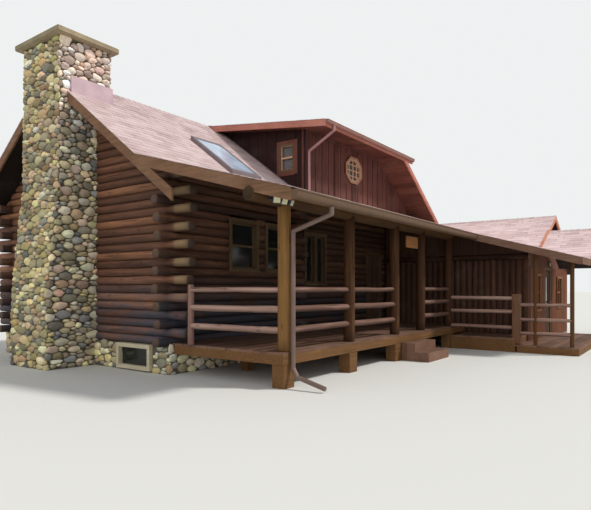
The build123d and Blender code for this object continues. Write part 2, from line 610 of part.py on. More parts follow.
count = int((-outer - WING_FRONT) / LOG_PITCH)
pitch = (-outer - WING_FRONT) / count
edges = []
for k in range(count):
    a = WING_FRONT + pitch * k
    edges.append(ThreePointArc((WING_LEFT + GROOVE, a, WING_FLOOR), (WING_LEFT, a + pitch / 2, WING_FLOOR),
                               (WING_LEFT + GROOVE, a + pitch, WING_FLOOR)))
edges.append(Line((WING_LEFT + GROOVE, -outer, WING_FLOOR), (WING_LEFT + WALL, -outer, WING_FLOOR)))
edges.append(Line((WING_LEFT + WALL, -outer, WING_FLOOR), (WING_LEFT + WALL, WING_FRONT, WING_FLOOR)))
edges.append(Line((WING_LEFT + WALL, WING_FRONT, WING_FLOOR), (WING_LEFT + GROOVE, WING_FRONT, WING_FLOOR)))
upright_logs = extrude(Face(Wire(edges)), amount=WING_PLATE - WING_FLOOR, dir=(0, 0, 1))
infill = cut(box(WING_LEFT + 60, WING_LEFT + WALL, WING_FRONT, -outer, WING_PLATE, HIGH), over_canopy)
plate_log = rod((WING_LEFT + 90, WING_FRONT, WING_PLATE + 90), (WING_LEFT + 90, -outer, WING_PLATE + 90), 90)
save("wing_side_wall", upright_logs + infill + plate_log)

wall_y0, wall_y1 = WING_FRONT, WING_FRONT + WING_WALL
left_part = box(WING_LEFT + WALL, WING_DOOR[0], wall_y0, wall_y1, WING_FLOOR, WING_HEAD)
right_part = box(WING_DOOR[1], WING_RIGHT - WALL, wall_y0, wall_y1, WING_FLOOR, WING_HEAD)
holes = [box(x0, x1, wall_y0 - 100, wall_y1 + 100, z0, z1) for x0, x1, z0, z1 in WING_WINDOWS]
save("wing_front_walls", group(left_part - holes[0], right_part - holes[1]))
gable = box(WING_LEFT + WALL, WING_RIGHT - WALL, wall_y0, wall_y1, WING_HEAD, HIGH)
save("wing_gable", cut(gable, over_canopy, over_wing_left, over_wing_right))
wing_right = box(WING_RIGHT - WALL, WING_RIGHT, WING_FRONT, WING_BACK, WING_FLOOR, HIGH)
save("wing_right_wall", cut(wing_right, over_wing_right))
wing_back = box(MAIN_LENGTH, WING_RIGHT - WALL, WING_BACK - WING_WALL, WING_BACK, FOUNDATION_TOP, HIGH)
wing_back += box(MAIN_LENGTH + outer, WING_RIGHT - WALL, WING_BACK - WING_WALL, WING_BACK, WING_FLOOR,
                 FOUNDATION_TOP)
save("wing_back_wall", cut(wing_back, over_wing_right, over_wing_back))

wing_frames = [ring_x(x0, x1, z0, z1, wall_y0 - 20, wall_y1, 50) for x0, x1, z0, z1 in WING_WINDOWS]
wing_panes = [pane_x(x0, x1, z0, z1, wall_y0 + 60, 50) for x0, x1, z0, z1 in WING_WINDOWS]
save("window_frames", group(*front_frames, *back_frames, *wing_frames, oct_frame, side_frame))
save("window_glass", group(*front_panes, *back_panes, *wing_panes, dormer_glass, basement_glass))

# Wing fascia boards

canopy_barge = barge([(PORCH_EAVE_Y, porch_plane(0, PORCH_EAVE_Y)),
                      (CANOPY_EAVE_Y, porch_plane(0, CANOPY_EAVE_Y))], 165, CANOPY_LEFT - BOARD)
eave_z = porch_plane(0, CANOPY_EAVE_Y)
tops = [(CANOPY_LEFT - BOARD, eave_z), (valley_x(CANOPY_EAVE_Y), eave_z), (CANOPY_RIDGE_X, CANOPY_RIDGE_Z),
        (CANOPY_RIGHT, canopy_right_plane(CANOPY_RIGHT, 0))]
lows = [(x, z - 150) for x, z in tops[::-1]]
canopy_fascia = prism([(x, CANOPY_EAVE_Y - BOARD, z) for x, z in tops + lows], (0, 1, 0), BOARD)
tops = [(CANOPY_RIDGE_X + 1, CANOPY_RIDGE_Z), (WING_RIDGE_X, WING_RIDGE_Z),
        (WING_ROOF_RIGHT, wing_right_plane(WING_ROOF_RIGHT, 0))]
lows = [(x, z - 130) for x, z in tops[::-1]]
wing_barge = prism([(x, WING_RAKE_Y - BOARD, z) for x, z in tops + lows], (0, 1, 0), BOARD)
save("canopy_barge", canopy_barge)
save("canopy_fascia", canopy_fascia)
save("wing_barge", cut(wing_barge, canopy_right_slab, wing_left_slab))

# Walkway

landing = box(WALK_LEFT, WING_LEFT, LANDING_FRONT, DECK_FRONT, LANDING_TOP - DECK_BOARD, LANDING_TOP)
lower = box(WALK_LEFT, LOWER_RIGHT, LOWER_FRONT, WING_FRONT, LOWER_TOP - DECK_BOARD, LOWER_TOP)
lower += box(WALK_LEFT, WING_LEFT, WING_FRONT, LANDING_FRONT, LOWER_TOP - DECK_BOARD, LOWER_TOP)
save("walkway_deck", group(landing, lower))
landing_rim = box(WALK_LEFT, WING_LEFT, LANDING_FRONT, DECK_FRONT, 0, LANDING_TOP - DECK_BOARD)
landing_rim -= box(WALK_LEFT + 50, WING_LEFT - 50, LANDING_FRONT + 50, DECK_FRONT - 50, -10, 400)
landing_rim = landing_rim - box(POST_XS[4] - 131, POST_XS[4] + 131, POST_Y - 91, POST_Y + 131, 0, 600)
lower_rim = box(WALK_LEFT, LOWER_RIGHT, LOWER_FRONT, WING_FRONT, 0, LOWER_TOP - DECK_BOARD)
lower_rim -= box(WALK_LEFT + 50, LOWER_RIGHT - 50, LOWER_FRONT + 50, WING_FRONT - 50, -10, 400)
save("walkway_frame", group(landing_rim, lower_rim))

newel = box(WALK_X - 45, WALK_X + 45, LANDING_FRONT - 100, LANDING_FRONT - 10, LOWER_TOP, NEWEL_TOP)
thin_ys = (LANDING_FRONT - 430, LOWER_FRONT + 150)
thin_posts = [rod((WALK_X, y, LOWER_TOP), (WALK_X, y, 3000), THIN_POST) - over_canopy for y in thin_ys]
over_canopy_right = above(CANOPY_RIGHT_PLAN, canopy_right_plane)
far_x = LOWER_RIGHT - 150
far_post = rod((far_x, thin_ys[1], LOWER_TOP), (far_x, thin_ys[1], 3000), THIN_POST) - over_canopy_right
save("walkway_posts", group(newel, *thin_posts, far_post))
walk_rails = []
for z in (1260, 940, 573):
    rail = rod((WALK_X, POST_Y, z), (WALK_X, LANDING_FRONT - 50, z), WALK_RAIL)
    walk_rails.append(cut(rail, posts[4], newel, deck, rim))
for z in (1110, 770, 450):
    walk_rails.append(cut(rod((WALK_X, LANDING_FRONT - 50, z), (WALK_X, thin_ys[0], z), WALK_RAIL_FAR),
                          newel, thin_posts[0]))
    walk_rails.append(cut(rod((WALK_X, thin_ys[0], z), (WALK_X, thin_ys[1], z), WALK_RAIL_FAR),
                          *thin_posts))
save("walkway_rails", group(*walk_rails))

# Doors: a frame in each doorway, a leaf that swings inwards and a knob on both faces

def door_frame(opening, y0, y1):
    x0, x1, z0, z1 = opening
    return box(x0, x1, y0, y1, z0, z1) - box(x0 + FRAME, x1 - FRAME, y0 - 1, y1 + 1, z0 - 1, z1 - FRAME)


def door_leaf(opening, y):
    x0, x1, z0, z1 = opening
    side = FRAME + DOOR_GAP
    return box(x0 + side, x1 - side, y, y + DOOR_THICKNESS, z0 + 12, z1 - side)


def door_knobs(opening, y):
    x = opening[1] - FRAME - DOOR_GAP - 70
    z = opening[2] + 1000
    inner_y = y + DOOR_THICKNESS
    knobs = []
    for start, way in ((y, -1), (inner_y, 1)):
        stem = rod((x, start, z), (x, start + way * 40, z), 12)
        knobs.append(stem + rod((x, start + way * 40, z), (x, start + way * 70, z), 27))
    return group(*knobs)


def hinge(opening, leaf_y, z):
    """A butt hinge: the jamb's two knuckles and pin, and the leaf's knuckle with its plate."""
    jamb = opening[0] + FRAME
    x, y = jamb + KNUCKLE, leaf_y + DOOR_THICKNESS + KNUCKLE + 1
    fixed = rod((x, y, z), (x, y, z + 100), HINGE_PIN)
    for low, high in ((z, z + 30), (z + 70, z + 100)):
        fixed = fixed + rod((x, y, low), (x, y, high), KNUCKLE) + box(jamb, x, y - 7, y + 7, low, high)
    turning = rod((x, y, z + 30.5), (x, y, z + 69.5), KNUCKLE)
    turning = turning + box(x, x + 45, leaf_y + DOOR_THICKNESS, y - 3, z + 30.5, z + 69.5)
    return fixed, turning - rod((x, y, z), (x, y, z + 100), HINGE_PIN + HINGE_PLAY)


def hung_door(opening, frame_y, leaf_y):
    """The frame with its hinges' fixed halves, and the leaf with the halves that turn."""
    frame = door_frame(opening, *frame_y)
    leaf = door_leaf(opening, leaf_y)
    for height in HINGE_HEIGHTS:
        fixed, turning = hinge(opening, leaf_y, opening[2] + height)
        frame = frame + fixed
        leaf = leaf + turning
    return frame, leaf


porch_frame, porch_leaf = hung_door(PORCH_DOOR, (0, WALL), 80)
wing_frame, wing_leaf = hung_door(WING_DOOR, (wall_y0, wall_y1), wall_y0 + 50)
save("door_frames", group(porch_frame, wing_frame))
save("porch_door", porch_leaf)
save("porch_door_knobs", door_knobs(PORCH_DOOR, 80))
save("wing_door", wing_leaf)
save("wing_door_knobs", door_knobs(WING_DOOR, wall_y0 + 50))
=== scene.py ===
"""The looks of the log cabin: laid cobbles, peeled logs, shingles, boards and glass.

Lengths are in metres. place() takes them from the near log corner at ground level: x to the right
along the porch, y to the back, z up.
"""

import math
import random
from contextlib import contextmanager

import bmesh
import bpy
from mathutils import Matrix, Vector, noise


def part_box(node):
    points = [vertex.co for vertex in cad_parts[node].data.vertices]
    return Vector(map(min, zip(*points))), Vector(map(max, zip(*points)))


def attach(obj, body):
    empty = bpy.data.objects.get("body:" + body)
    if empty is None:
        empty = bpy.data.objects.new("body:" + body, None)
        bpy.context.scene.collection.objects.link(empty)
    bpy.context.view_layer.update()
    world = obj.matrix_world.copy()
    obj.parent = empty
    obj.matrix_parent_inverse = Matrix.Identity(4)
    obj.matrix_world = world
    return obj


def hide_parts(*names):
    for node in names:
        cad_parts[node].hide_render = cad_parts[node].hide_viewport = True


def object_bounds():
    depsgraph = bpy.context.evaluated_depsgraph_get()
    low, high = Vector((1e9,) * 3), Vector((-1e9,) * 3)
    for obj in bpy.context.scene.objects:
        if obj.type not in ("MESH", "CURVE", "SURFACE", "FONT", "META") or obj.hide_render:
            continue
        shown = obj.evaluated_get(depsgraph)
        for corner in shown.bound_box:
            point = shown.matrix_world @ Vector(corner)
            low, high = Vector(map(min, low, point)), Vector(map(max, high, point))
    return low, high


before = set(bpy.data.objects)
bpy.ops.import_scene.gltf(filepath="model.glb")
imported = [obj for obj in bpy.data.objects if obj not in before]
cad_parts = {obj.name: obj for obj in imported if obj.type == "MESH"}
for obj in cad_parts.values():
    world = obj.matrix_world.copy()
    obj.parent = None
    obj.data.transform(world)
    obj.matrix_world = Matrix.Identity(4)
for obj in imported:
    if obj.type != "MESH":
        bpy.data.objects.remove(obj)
CAD_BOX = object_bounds()

# Sizes that the record doesn't give

OX, OY = 5.0, 2.82  # from the near log corner to the frame's middle
LENGTH, DEPTH = 10.0, 5.64
COURSE, FOUNDATION_TOP = 0.153, 0.49
WALL, ROOF = 0.2, 0.1
BUTT = 0.19  # butting logs start this far inside a corner
COURSES = 20
WALL_GAP = ROOF - 0.01  # log walls run 10 mm into the roofs
EXPOSURE, TAB = 0.142, 0.30
RIDGE_Y = DEPTH / 2
BREAK_Y, BREAK_Z = 0.17, 3.725  # where the main slope changes to the porch's
MAIN_PITCH, PORCH_PITCH, END_PITCH, WING_PITCH = 0.738, 0.281, 0.65, 0.5
RIDGE_Z = BREAK_Z + MAIN_PITCH * (RIDGE_Y - BREAK_Y)
DORMER_EAVE_Y, DORMER_EAVE_Z = -0.75, 5.22
DORMER_PITCH = (RIDGE_Z - DORMER_EAVE_Z) / (RIDGE_Y - DORMER_EAVE_Y)
END_X, END_Z = 8.0, 5.1
RIGHT_X = 10.35
WING_RIDGE_X, WING_RIDGE_Z = 10.7, 3.57
CANOPY_LEFT, CANOPY_FRONT, CANOPY_RIDGE = 6.76, -5.4, 9.63
RAKE_X = -0.62
STACK = (-1.03, 0.36, 2.155, 3.485)
LOG_END_STEPS = (0, 0.03, -0.025, 0.015, -0.01)
LONG_WALL_END, CROSS_WALL_END, HIGH_LOGS, HIGH_LOG_EXTRA = 0.235, 0.395, 8, 0.065
WINDOWS = ((1.5, 2.37, 1.83, 2.865), (2.61, 3.41, 1.83, 2.865), (4.04, 4.96, 1.57, 2.8))
BACK_WINDOWS = ((2.0, 2.87, 1.83, 2.865), (6.5, 7.42, 1.83, 2.865))
DOORWAY = (7.05, 7.95, 0, 2.51)
WING_WINDOWS = ((8.85, 9.33, 0.9, 1.86), (11.6, 12.29, 0.9, 1.83))
WING_DOORWAY = (10.01, 10.8, 0.1, 2.06)
WING_X0, WING_X1, WING_Y0, WING_Y1, WING_TOP = 8.24, 13.4, -4.0, 1.2, 2.06


# Shader maths

class Value:
    """A node socket that can be used in sums and products."""

    def __init__(self, tree, socket):
        self.tree = tree
        self.socket = socket

    def node(self, kind, settings=None, out=0, **inputs):
        """Adds a node: its settings first, then its inputs by name or by number (i0, i1)."""
        made = self.tree.nodes.new(kind)
        for key, value in (settings or {}).items():
            if key == "ramp":
                set_ramp(made, value)
            else:
                setattr(made, key, value)
        for key, value in inputs.items():
            socket = made.inputs[int(key[1:]) if key[0] == "i" and key[1:].isdigit() else key]
            if isinstance(value, Value):
                self.tree.links.new(value.socket, socket)
            elif value is not None:
                socket.default_value = value
        return Value(self.tree, made.outputs[out])

    def math(self, operation, *values):
        inputs = {f"i{k}": v for k, v in enumerate(values)}
        return self.node("ShaderNodeMath", {"operation": operation}, **inputs)

    def __add__(self, other):
        return self.math("ADD", self, other)

    __radd__ = __add__

    def __mul__(self, other):
        return self.math("MULTIPLY", self, other)

    __rmul__ = __mul__

    def __sub__(self, other):
        return self.math("SUBTRACT", self, other)

    def __rsub__(self, other):
        return self.math("SUBTRACT", other, self)

    def step(self, low, high):
        """0 below low, 1 above high and smooth between them."""
        kind = {"interpolation_type": "SMOOTHSTEP"}
        return self.node("ShaderNodeMapRange", kind, i0=self, i1=low, i2=high, i3=0.0, i4=1.0)

    def stretch(self, x, y, z):
        return self.node("ShaderNodeVectorMath", {"operation": "MULTIPLY"}, i0=self, i1=(x, y, z))

    def noise(self, scale, detail=3.0, roughness=0.55):
        return self.node("ShaderNodeTexNoise", Vector=self, Scale=scale, Detail=detail, Roughness=roughness)

    def part(self, axis):
        return self.node("ShaderNodeSeparateXYZ", out=axis, i0=self)

    def bump(self, distance, strength):
        return self.node("ShaderNodeBump", Height=self, Distance=distance, Strength=strength)


def set_ramp(node, stops):
    elements = node.color_ramp.elements
    while len(elements) < len(stops):
        elements.new(1.0)
    for element, (position, colour) in zip(elements, stops):
        element.position = position
        element.color = paint(*colour)


def paint(red, green, blue):
    """A linear colour from the red, green and blue of a paint chart, 0 to 255."""
    line = [c / 255 for c in (red, green, blue)]
    return (*[c / 12.92 if c < 0.04045 else ((c + 0.055) / 1.055) ** 2.4 for c in line], 1.0)


def tint(colour, factor, more=0):
    return tuple(min(255, c * factor + more) for c in colour)


class Finish:
    """A material in the making: its places, its attributes and its shader."""

    def __init__(self, name):
        self.material = bpy.data.materials.new(name)
        self.material.use_nodes = True
        self.tree = self.material.node_tree
        self.shader = self.tree.nodes["Principled BSDF"]
        self.any = Value(self.tree, None)
        self.place = self.any.node("ShaderNodeTexCoord", out=3)
        self.normal = self.any.node("ShaderNodeTexCoord", out=1)

    def attribute(self, name, out=2):
        return self.any.node("ShaderNodeAttribute", {"attribute_name": name}, out=out)

    def mix(self, factor, first, second, kind="MIX"):
        first, second = (paint(*c) if isinstance(c, tuple) else c for c in (first, second))
        settings = {"data_type": "RGBA", "blend_type": kind}
        return self.any.node("ShaderNodeMix", settings, out=2, i0=factor, i6=first, i7=second)

    def ramp(self, factor, *stops):
        return self.any.node("ShaderNodeValToRGB", {"ramp": stops}, i0=factor)

    def mottle(self, factor, base, dark):
        """A colour that darkens in patches."""
        return self.ramp(factor, (0.3, tint(base, dark)), (0.7, base))

    def shade(self, colour, factor):
        """The colour times a factor that changes over the surface."""
        grey = self.any.node("ShaderNodeCombineXYZ", i0=factor, i1=factor, i2=factor)
        return self.mix(1.0, colour, grey, "MULTIPLY")

    def finish(self, colour, roughness, normal=None, **constants):
        if isinstance(colour, tuple):
            colour = paint(*colour)
        values = {"Base Color": colour, "Roughness": roughness, "Normal": normal, **constants}
        for key, value in values.items():
            if isinstance(value, Value):
                self.tree.links.new(value.socket, self.shader.inputs[key])
            elif value is not None:
                self.shader.inputs[key].default_value = value
        return self.material


# Finishes

X, Y, Z = range(3)
GLOSS = "Specular IOR Level"
WEATHERED, BLEACHED = (70, 75, 89), (172, 148, 108)
LICHEN, OCHRE, DUST = (150, 146, 108), (244, 240, 212), (168, 152, 138)


def log_finish(name, dark, middle, light, end=(132, 104, 70), gloss=0.2, weather=0.0, tips=False):
    """Peeled and stained logs: grain, drying cracks and knots along each log, pale sawn ends.

    weather greys the lowest courses. tips bleaches the tips of the gable logs at the near corner,
    and paints shade on the faces toward -Y, as under the porch roof. Every log's underside is painted darker,
    as shade.
    """
    f = Finish(name)
    grain = f.attribute("grain", 1)
    streak = grain.stretch(1.3, 22, 22).noise(1.0, 4.0, 0.6)
    patch = grain.stretch(0.8, 3.0, 3.0).noise(1.0)
    crack = grain.stretch(0.55, 30, 30).noise(1.0, 2.0, 0.5).step(0.66, 0.72)
    knot = f.any.node("ShaderNodeTexVoronoi", Vector=grain.stretch(2.2, 7, 7), Scale=1.0, Randomness=1.0)
    knot = 1 - knot.step(0.06, 0.17)
    tone = streak * 0.55 + patch * 0.25 + f.attribute("tone") * 0.3
    body = f.ramp(tone, (0.28, dark), (0.55, middle), (0.82, light))
    if weather:
        low = 1 - f.place.part(Z).step(0.9, 1.9)
        body = f.mix(low * patch.step(0.25, 0.6) * weather, body, WEATHERED)
    body = f.shade(body, 1 - crack * 0.62)
    body = f.shade(body, 1 - knot * 0.45)
    rings = f.any.math("SINE", f.attribute("ring") * 420 + patch * 9) * 0.5 + 0.5
    sawn = f.mix(rings * 0.45 + streak * 0.3, end, tint(end, 0.55))
    colour = f.mix(f.attribute("sawn").step(0.3, 0.7), body, sawn)
    if tips:
        x, y, z = (f.place.part(axis) for axis in (X, Y, Z))
        leftward = 1 - f.normal.part(X).step(-0.6, -0.2)
        frontward = 1 - f.normal.part(Y).step(-0.6, -0.1)
        tip = (1 - y.step(-2.96, -2.86)) * leftward * z.step(1.2, 1.6) * (1 - x.step(-4.7, -4.5))
        colour = f.mix(tip * 0.52, colour, BLEACHED)
        # Painted shade: faces toward -Y darker, as under the porch roof, darker still on the log ends past the
        # near corner
        colour = f.shade(colour, 1 - (1 - x.step(-5.06, -4.9)) * frontward * 0.4)
        colour = f.shade(colour, 1 - frontward * 0.34)
    # Painted shade: each log darker toward its underside
    colour = f.shade(colour, f.normal.part(Z).step(-0.75, 0.5) * 0.5 + 0.5)
    relief = streak * 0.5 - crack * 1.6 - knot * 0.5 + patch * 0.6
    return f.finish(colour, 0.62 + streak * 0.25, relief.bump(0.006, 0.8), **{GLOSS: gloss})


def board_finish(name, base, along=X, worn=0.25, across=None, width=0.14, dark=0.55):
    """Stained boards: grain along one axis, worn in patches, and each board a little lighter or
    darker where across gives the axis that counts them."""
    f = Finish(name)
    scale = [26.0, 26.0, 26.0]
    scale[along] = 1.6
    streak = f.place.stretch(*scale).noise(1.0, 4.0, 0.6)
    patch = f.place.noise(1.7)
    tone = 0.5
    if across is not None:
        board = f.any.math("FLOOR", f.place.part(across) * (1 / width))
        tone = f.any.node("ShaderNodeTexWhiteNoise", {"noise_dimensions": "1D"}, i1=board)
    colour = f.ramp(streak * 0.6 + patch * 0.25 + tone * 0.2,
                    (0.25, tint(base, dark)), (0.55, base), (0.85, tint(base, 1.25)))
    colour = f.mix(patch.step(0.5, 0.75) * worn, colour, tint(base, 0.55, 70))
    relief = streak * 0.7 + patch * 0.4
    return f.finish(colour, 0.6 + streak * 0.25, relief.bump(0.004, 0.6), **{GLOSS: 0.2})


def shingle_finish(name, light=1.0):
    """Mineral faced shingles: faded red, every tab a little different, with fine grit. light brightens every
    colour, as painted sunlight.
    """
    f = Finish(name)
    grit = f.place.noise(170.0, 2.0, 0.6)
    cloud = f.place.noise(0.9)
    tone = f.attribute("tone") * 0.22 + cloud * 0.44 + grit * 0.34
    dark, middle, pale = (tint(c, light) for c in ((168, 143, 143), (200, 178, 177), (218, 200, 200)))
    colour = f.ramp(tone, (0.25, dark), (0.5, middle), (0.75, pale))
    stain = f.place.stretch(3.5, 0.7, 0.7).noise(1.0, 4.0)
    colour = f.shade(colour, 1 - stain.step(0.55, 0.8) * 0.14)
    colour = f.shade(colour, grit * 0.35 + 0.82)
    return f.finish(colour, 0.92, grit.bump(0.003, 0.5))


def stone_finish(name):
    """Field stones: each has its own colour, with grain, a little lichen and ochre toward -X, and painted
    light: lighter tops, darker undersides.
    """
    f = Finish(name)
    speck = f.place.noise(95.0, 3.0, 0.65)
    cloud = f.place.noise(14.0)
    light = cloud * 0.5 + speck * 0.35 + f.attribute("tone") * 0.35 + 0.35
    colour = f.shade(f.attribute("hue", 0), light)
    lichen = f.place.noise(5.0, 4.0, 0.65).step(0.58, 0.7)
    colour = f.mix(lichen * 0.35, colour, LICHEN)
    colour = f.mix(1 - f.normal.part(X).step(-0.9, -0.2), colour, OCHRE, "MULTIPLY")
    # Painted light and shade: tops lighter, undersides darker
    colour = f.shade(colour, f.normal.part(Z).step(-0.6, 0.5) * 0.42 + 0.72)
    relief = speck * 0.35 + cloud
    return f.finish(colour, 0.78 + speck * 0.15, relief.bump(0.008, 0.7))


def mortar_finish(name):
    f = Finish(name)
    speck = f.place.noise(120.0, 3.0, 0.7)
    cloud = f.place.noise(6.0)
    colour = f.ramp(cloud * 0.6 + speck * 0.4, (0.3, (70, 66, 56)), (0.7, (112, 106, 90)))
    return f.finish(colour, 0.95, speck.bump(0.006, 0.8))


def cast_finish(name, base):
    """Cast concrete: pits, faint form marks and dark weather streaks, with painted shade on the faces toward
    -X.
    """
    f = Finish(name)
    speck = f.place.noise(80.0, 3.0, 0.7)
    cloud = f.place.noise(3.0, 4.0)
    streak = f.place.stretch(8, 8, 0.8).noise(1.0)
    colour = f.mottle(cloud * 0.6 + speck * 0.4, base, 0.78)
    colour = f.mix(streak.step(0.55, 0.75) * 0.45, colour, (96, 88, 66))
    # Painted shade on the faces toward -X
    colour = f.shade(colour, f.normal.part(X).step(-0.9, -0.3) * 0.18 + 0.82)
    return f.finish(colour, 0.9, (speck * 0.6 + cloud).bump(0.006, 0.6))


def metal_finish(name, base, roughness=0.5, high=None):
    """Painted sheet metal with dust and slight waves. high is its colour above the porch roof, brighter and
    pinker as painted sunlight.
    """
    f = Finish(name)
    cloud = f.place.noise(4.0, 4.0)
    speck = f.place.noise(60.0, 2.0)
    shade = cloud * 0.7 + f.place.stretch(6, 6, 1).noise(1.0) * 0.3
    colour = f.mottle(shade, base, 0.84)
    if high:
        # Painted sunlight: brighter and pinker above the porch roof
        colour = f.mix(f.place.part(Z).step(3.55, 3.65), colour, f.mottle(shade, high, 0.84))
    colour = f.mix(speck.step(0.6, 0.75) * 0.2, colour, DUST)
    return f.finish(colour, roughness + cloud * 0.25, cloud.bump(0.003, 0.4))


def glass_finish(name, base, high=None):
    """Window glass by day, opaque, with the dark of the rooms behind painted in as shade: glossy, slightly
    wavy, dusty. high is its colour above the porch, paler as a painted reflection of the sky.
    """
    f = Finish(name)
    wave = f.place.noise(2.2, 2.0)
    dust = f.place.noise(30.0)
    colour = f.mottle(wave * 0.7 + dust * 0.3, base, 0.7)
    if high:
        # Painted reflection: paler glass above the porch
        colour = f.mix(f.place.part(Z).step(3.9, 4.1), colour, high)
    return f.finish(colour, 0.06 + dust * 0.08, wave.bump(0.01, 0.12), **{GLOSS: 0.6})


def plain_finish(name, base, roughness, metallic=0.0):
    f = Finish(name)
    speck = f.place.noise(40.0)
    cloud = f.place.noise(40.0 / 9)
    colour = f.mottle(speck * 0.4 + cloud * 0.6, base, 0.82)
    return f.finish(colour, roughness + speck * 0.2, speck.bump(0.002, 0.4), Metallic=metallic)


LOG_WALLS = log_finish("stained_logs", (58, 37, 29), (118, 78, 57), (180, 126, 90), end=(112, 88, 72),
                       gloss=0.4, weather=0.9, tips=True)
# The porch logs' sawn ends are dark, as painted shade
PORCH_LOGS = log_finish("porch_logs", (70, 42, 22), (116, 82, 46), (156, 116, 66), end=(76, 56, 36))
RAIL_LOGS = log_finish("rail_logs", (107, 79, 67), (158, 125, 113), (196, 163, 147), end=(170, 140, 110))
WING_LOGS = log_finish("wing_logs", (46, 30, 23), (80, 52, 39), (114, 76, 54))

STONE = stone_finish("field_stone")
MORTAR = mortar_finish("raked_mortar")
CAP_CONCRETE = cast_finish("cap_concrete", (172, 156, 126))
SHINGLE = shingle_finish("shingle_felt")
# The same felt with brighter colours, as painted sunlight on the wing's roofs
WING_SHINGLE_PAINTED_SUN = shingle_finish("wing_shingle_felt_painted_sun", 1.13)

# Boards: the axis of the grain, the wear, the axis that counts the boards and their width
WING_RAKE_WOOD = board_finish("wing_rake_stain", (206, 140, 112), X, 0.1)
DORMER_BOARDS = board_finish("dormer_wall_stain", (104, 64, 56), Z, 0.2, X, 0.29)
# The dormer's side boards: much darker than its front's, as painted shade
DORMER_SIDE_PAINTED_SHADE = board_finish("dormer_side_painted_shade", (44, 23, 21), Z, 0.2, Y, 0.29)
WING_FRONT = board_finish("wing_front_stain", (106, 56, 22), Z, 0.05, X, 0.19)
WING_SIDE = board_finish("wing_side_stain", (104, 52, 30), Z, 0.25, Y, 0.19)
DECK = board_finish("deck_stain", (118, 88, 72), X, 0.4, Y, 0.145)
NEWEL_WOOD = board_finish("newel_stain", (106, 74, 52), Z, 0.1)
WINDOW_WOOD = board_finish("window_wood", (100, 80, 58), Z, 0.15)
TRIM_WOOD = board_finish("side_trim_wood", (108, 66, 56), Z, 0.15)
RING_WOOD = board_finish("octagon_ring_wood", (176, 130, 106), Z, 0.1, dark=0.7)
WING_TRIM = board_finish("wing_trim_wood", (150, 94, 52), Z, 0.1)
TAN_TRIM = board_finish("tan_trim_wood", (204, 166, 138), Z, 0.1, dark=0.7)
DOOR_WOOD = board_finish("door_wood", (96, 70, 54), Z, 0.25, X, 0.12)
PLAQUE_WOOD = board_finish("plaque_wood", (158, 106, 64), X, 0.1)

# Brighter above the porch roof, as painted sunlight
GUTTER_METAL = metal_finish("gutter_paint", (100, 72, 46), 0.45, high=(150, 104, 92))
FLASHING = metal_finish("flashing_paint", (210, 182, 190))
# A flashing strip, its dark colour partly painted shade of the dormer
FLASHING_PAINTED_SHADE = metal_finish("flashing_paint_with_painted_shade", (112, 94, 106))
# Dark as painted shade of the rooms behind, paler above the porch as a painted reflection
GLASS = glass_finish("window_glass_dark", (38, 42, 40), high=(92, 90, 92))
LAMP = plain_finish("lamp_housing", (70, 72, 80), 0.4)
LENS = plain_finish("lamp_lens", (240, 232, 190), 0.2)
DARK_METAL = plain_finish("dark_metal", (58, 52, 48), 0.5, metallic=0.6)
BRASS = plain_finish("worn_brass", (168, 132, 72), 0.3, metallic=1.0)


# Mesh tools

def place(x, y, z):
    """A point given from the near log corner, in the row's frame."""
    return Vector((x - OX, y - OY, z))


@contextmanager
def editing(piece):
    """The piece's mesh, open to bmesh."""
    mesh = bmesh.new()
    mesh.from_mesh(piece.data)
    yield mesh
    mesh.to_mesh(piece.data)
    mesh.free()


def trim(piece, *planes):
    """Cuts a piece by planes, given as a point and the direction that goes away, and closes the cuts."""
    with editing(piece) as mesh:
        for point, away in planes:
            everything = mesh.verts[:] + mesh.edges[:] + mesh.faces[:]
            cut = bmesh.ops.bisect_plane(mesh, geom=everything, plane_co=point, plane_no=away, dist=1e-5,
                                         clear_outer=True)
            edges = [e for e in cut["geom_cut"] if isinstance(e, bmesh.types.BMEdge) and e.is_valid]
            bmesh.ops.holes_fill(mesh, edges=[e for e in edges if e.is_boundary], sides=0)
    return piece


def smooth_by_angle(piece, degrees):
    """Smooth shading with sharp edges where two faces meet at a larger angle."""
    with editing(piece) as mesh:
        for face in mesh.faces:
            face.smooth = True
        for edge in mesh.edges:
            edge.smooth = len(edge.link_faces) == 2 and edge.calc_face_angle(0) < math.radians(degrees)
    return piece


def join(name, pieces):
    """Joins finished meshes into the first of them."""
    target, *others = pieces
    with editing(target) as mesh:
        for piece in others:
            mesh.from_mesh(piece.data)
    for piece in others:
        bpy.data.objects.remove(piece)
    target.name = name
    return target


def settle(piece, slot, *replaced, body="cabin"):
    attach(piece, body)
    if replaced:
        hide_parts(*replaced)
    return piece


def coat(material, *nodes):
    for name in nodes:
        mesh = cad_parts[name].data
        mesh.materials.clear()
        mesh.materials.append(material)


def show(name, mesh):
    made = bpy.data.objects.new(name, mesh)
    bpy.context.scene.collection.objects.link(made)
    return made


def tube(rings, sides):
    """The faces of a closed tube. Its points are the first end's, then ring by ring, then the last end's."""
    last = 1 + (rings - 1) * sides
    faces = []
    for k in range(sides):
        after = (k + 1) % sides
        faces += [(0, 1 + k, 1 + after), (last + sides, last + after, last + k)]
        faces += [(base + k, base + sides + k, base + sides + after, base + after)
                  for base in range(1, last, sides)]
    return faces


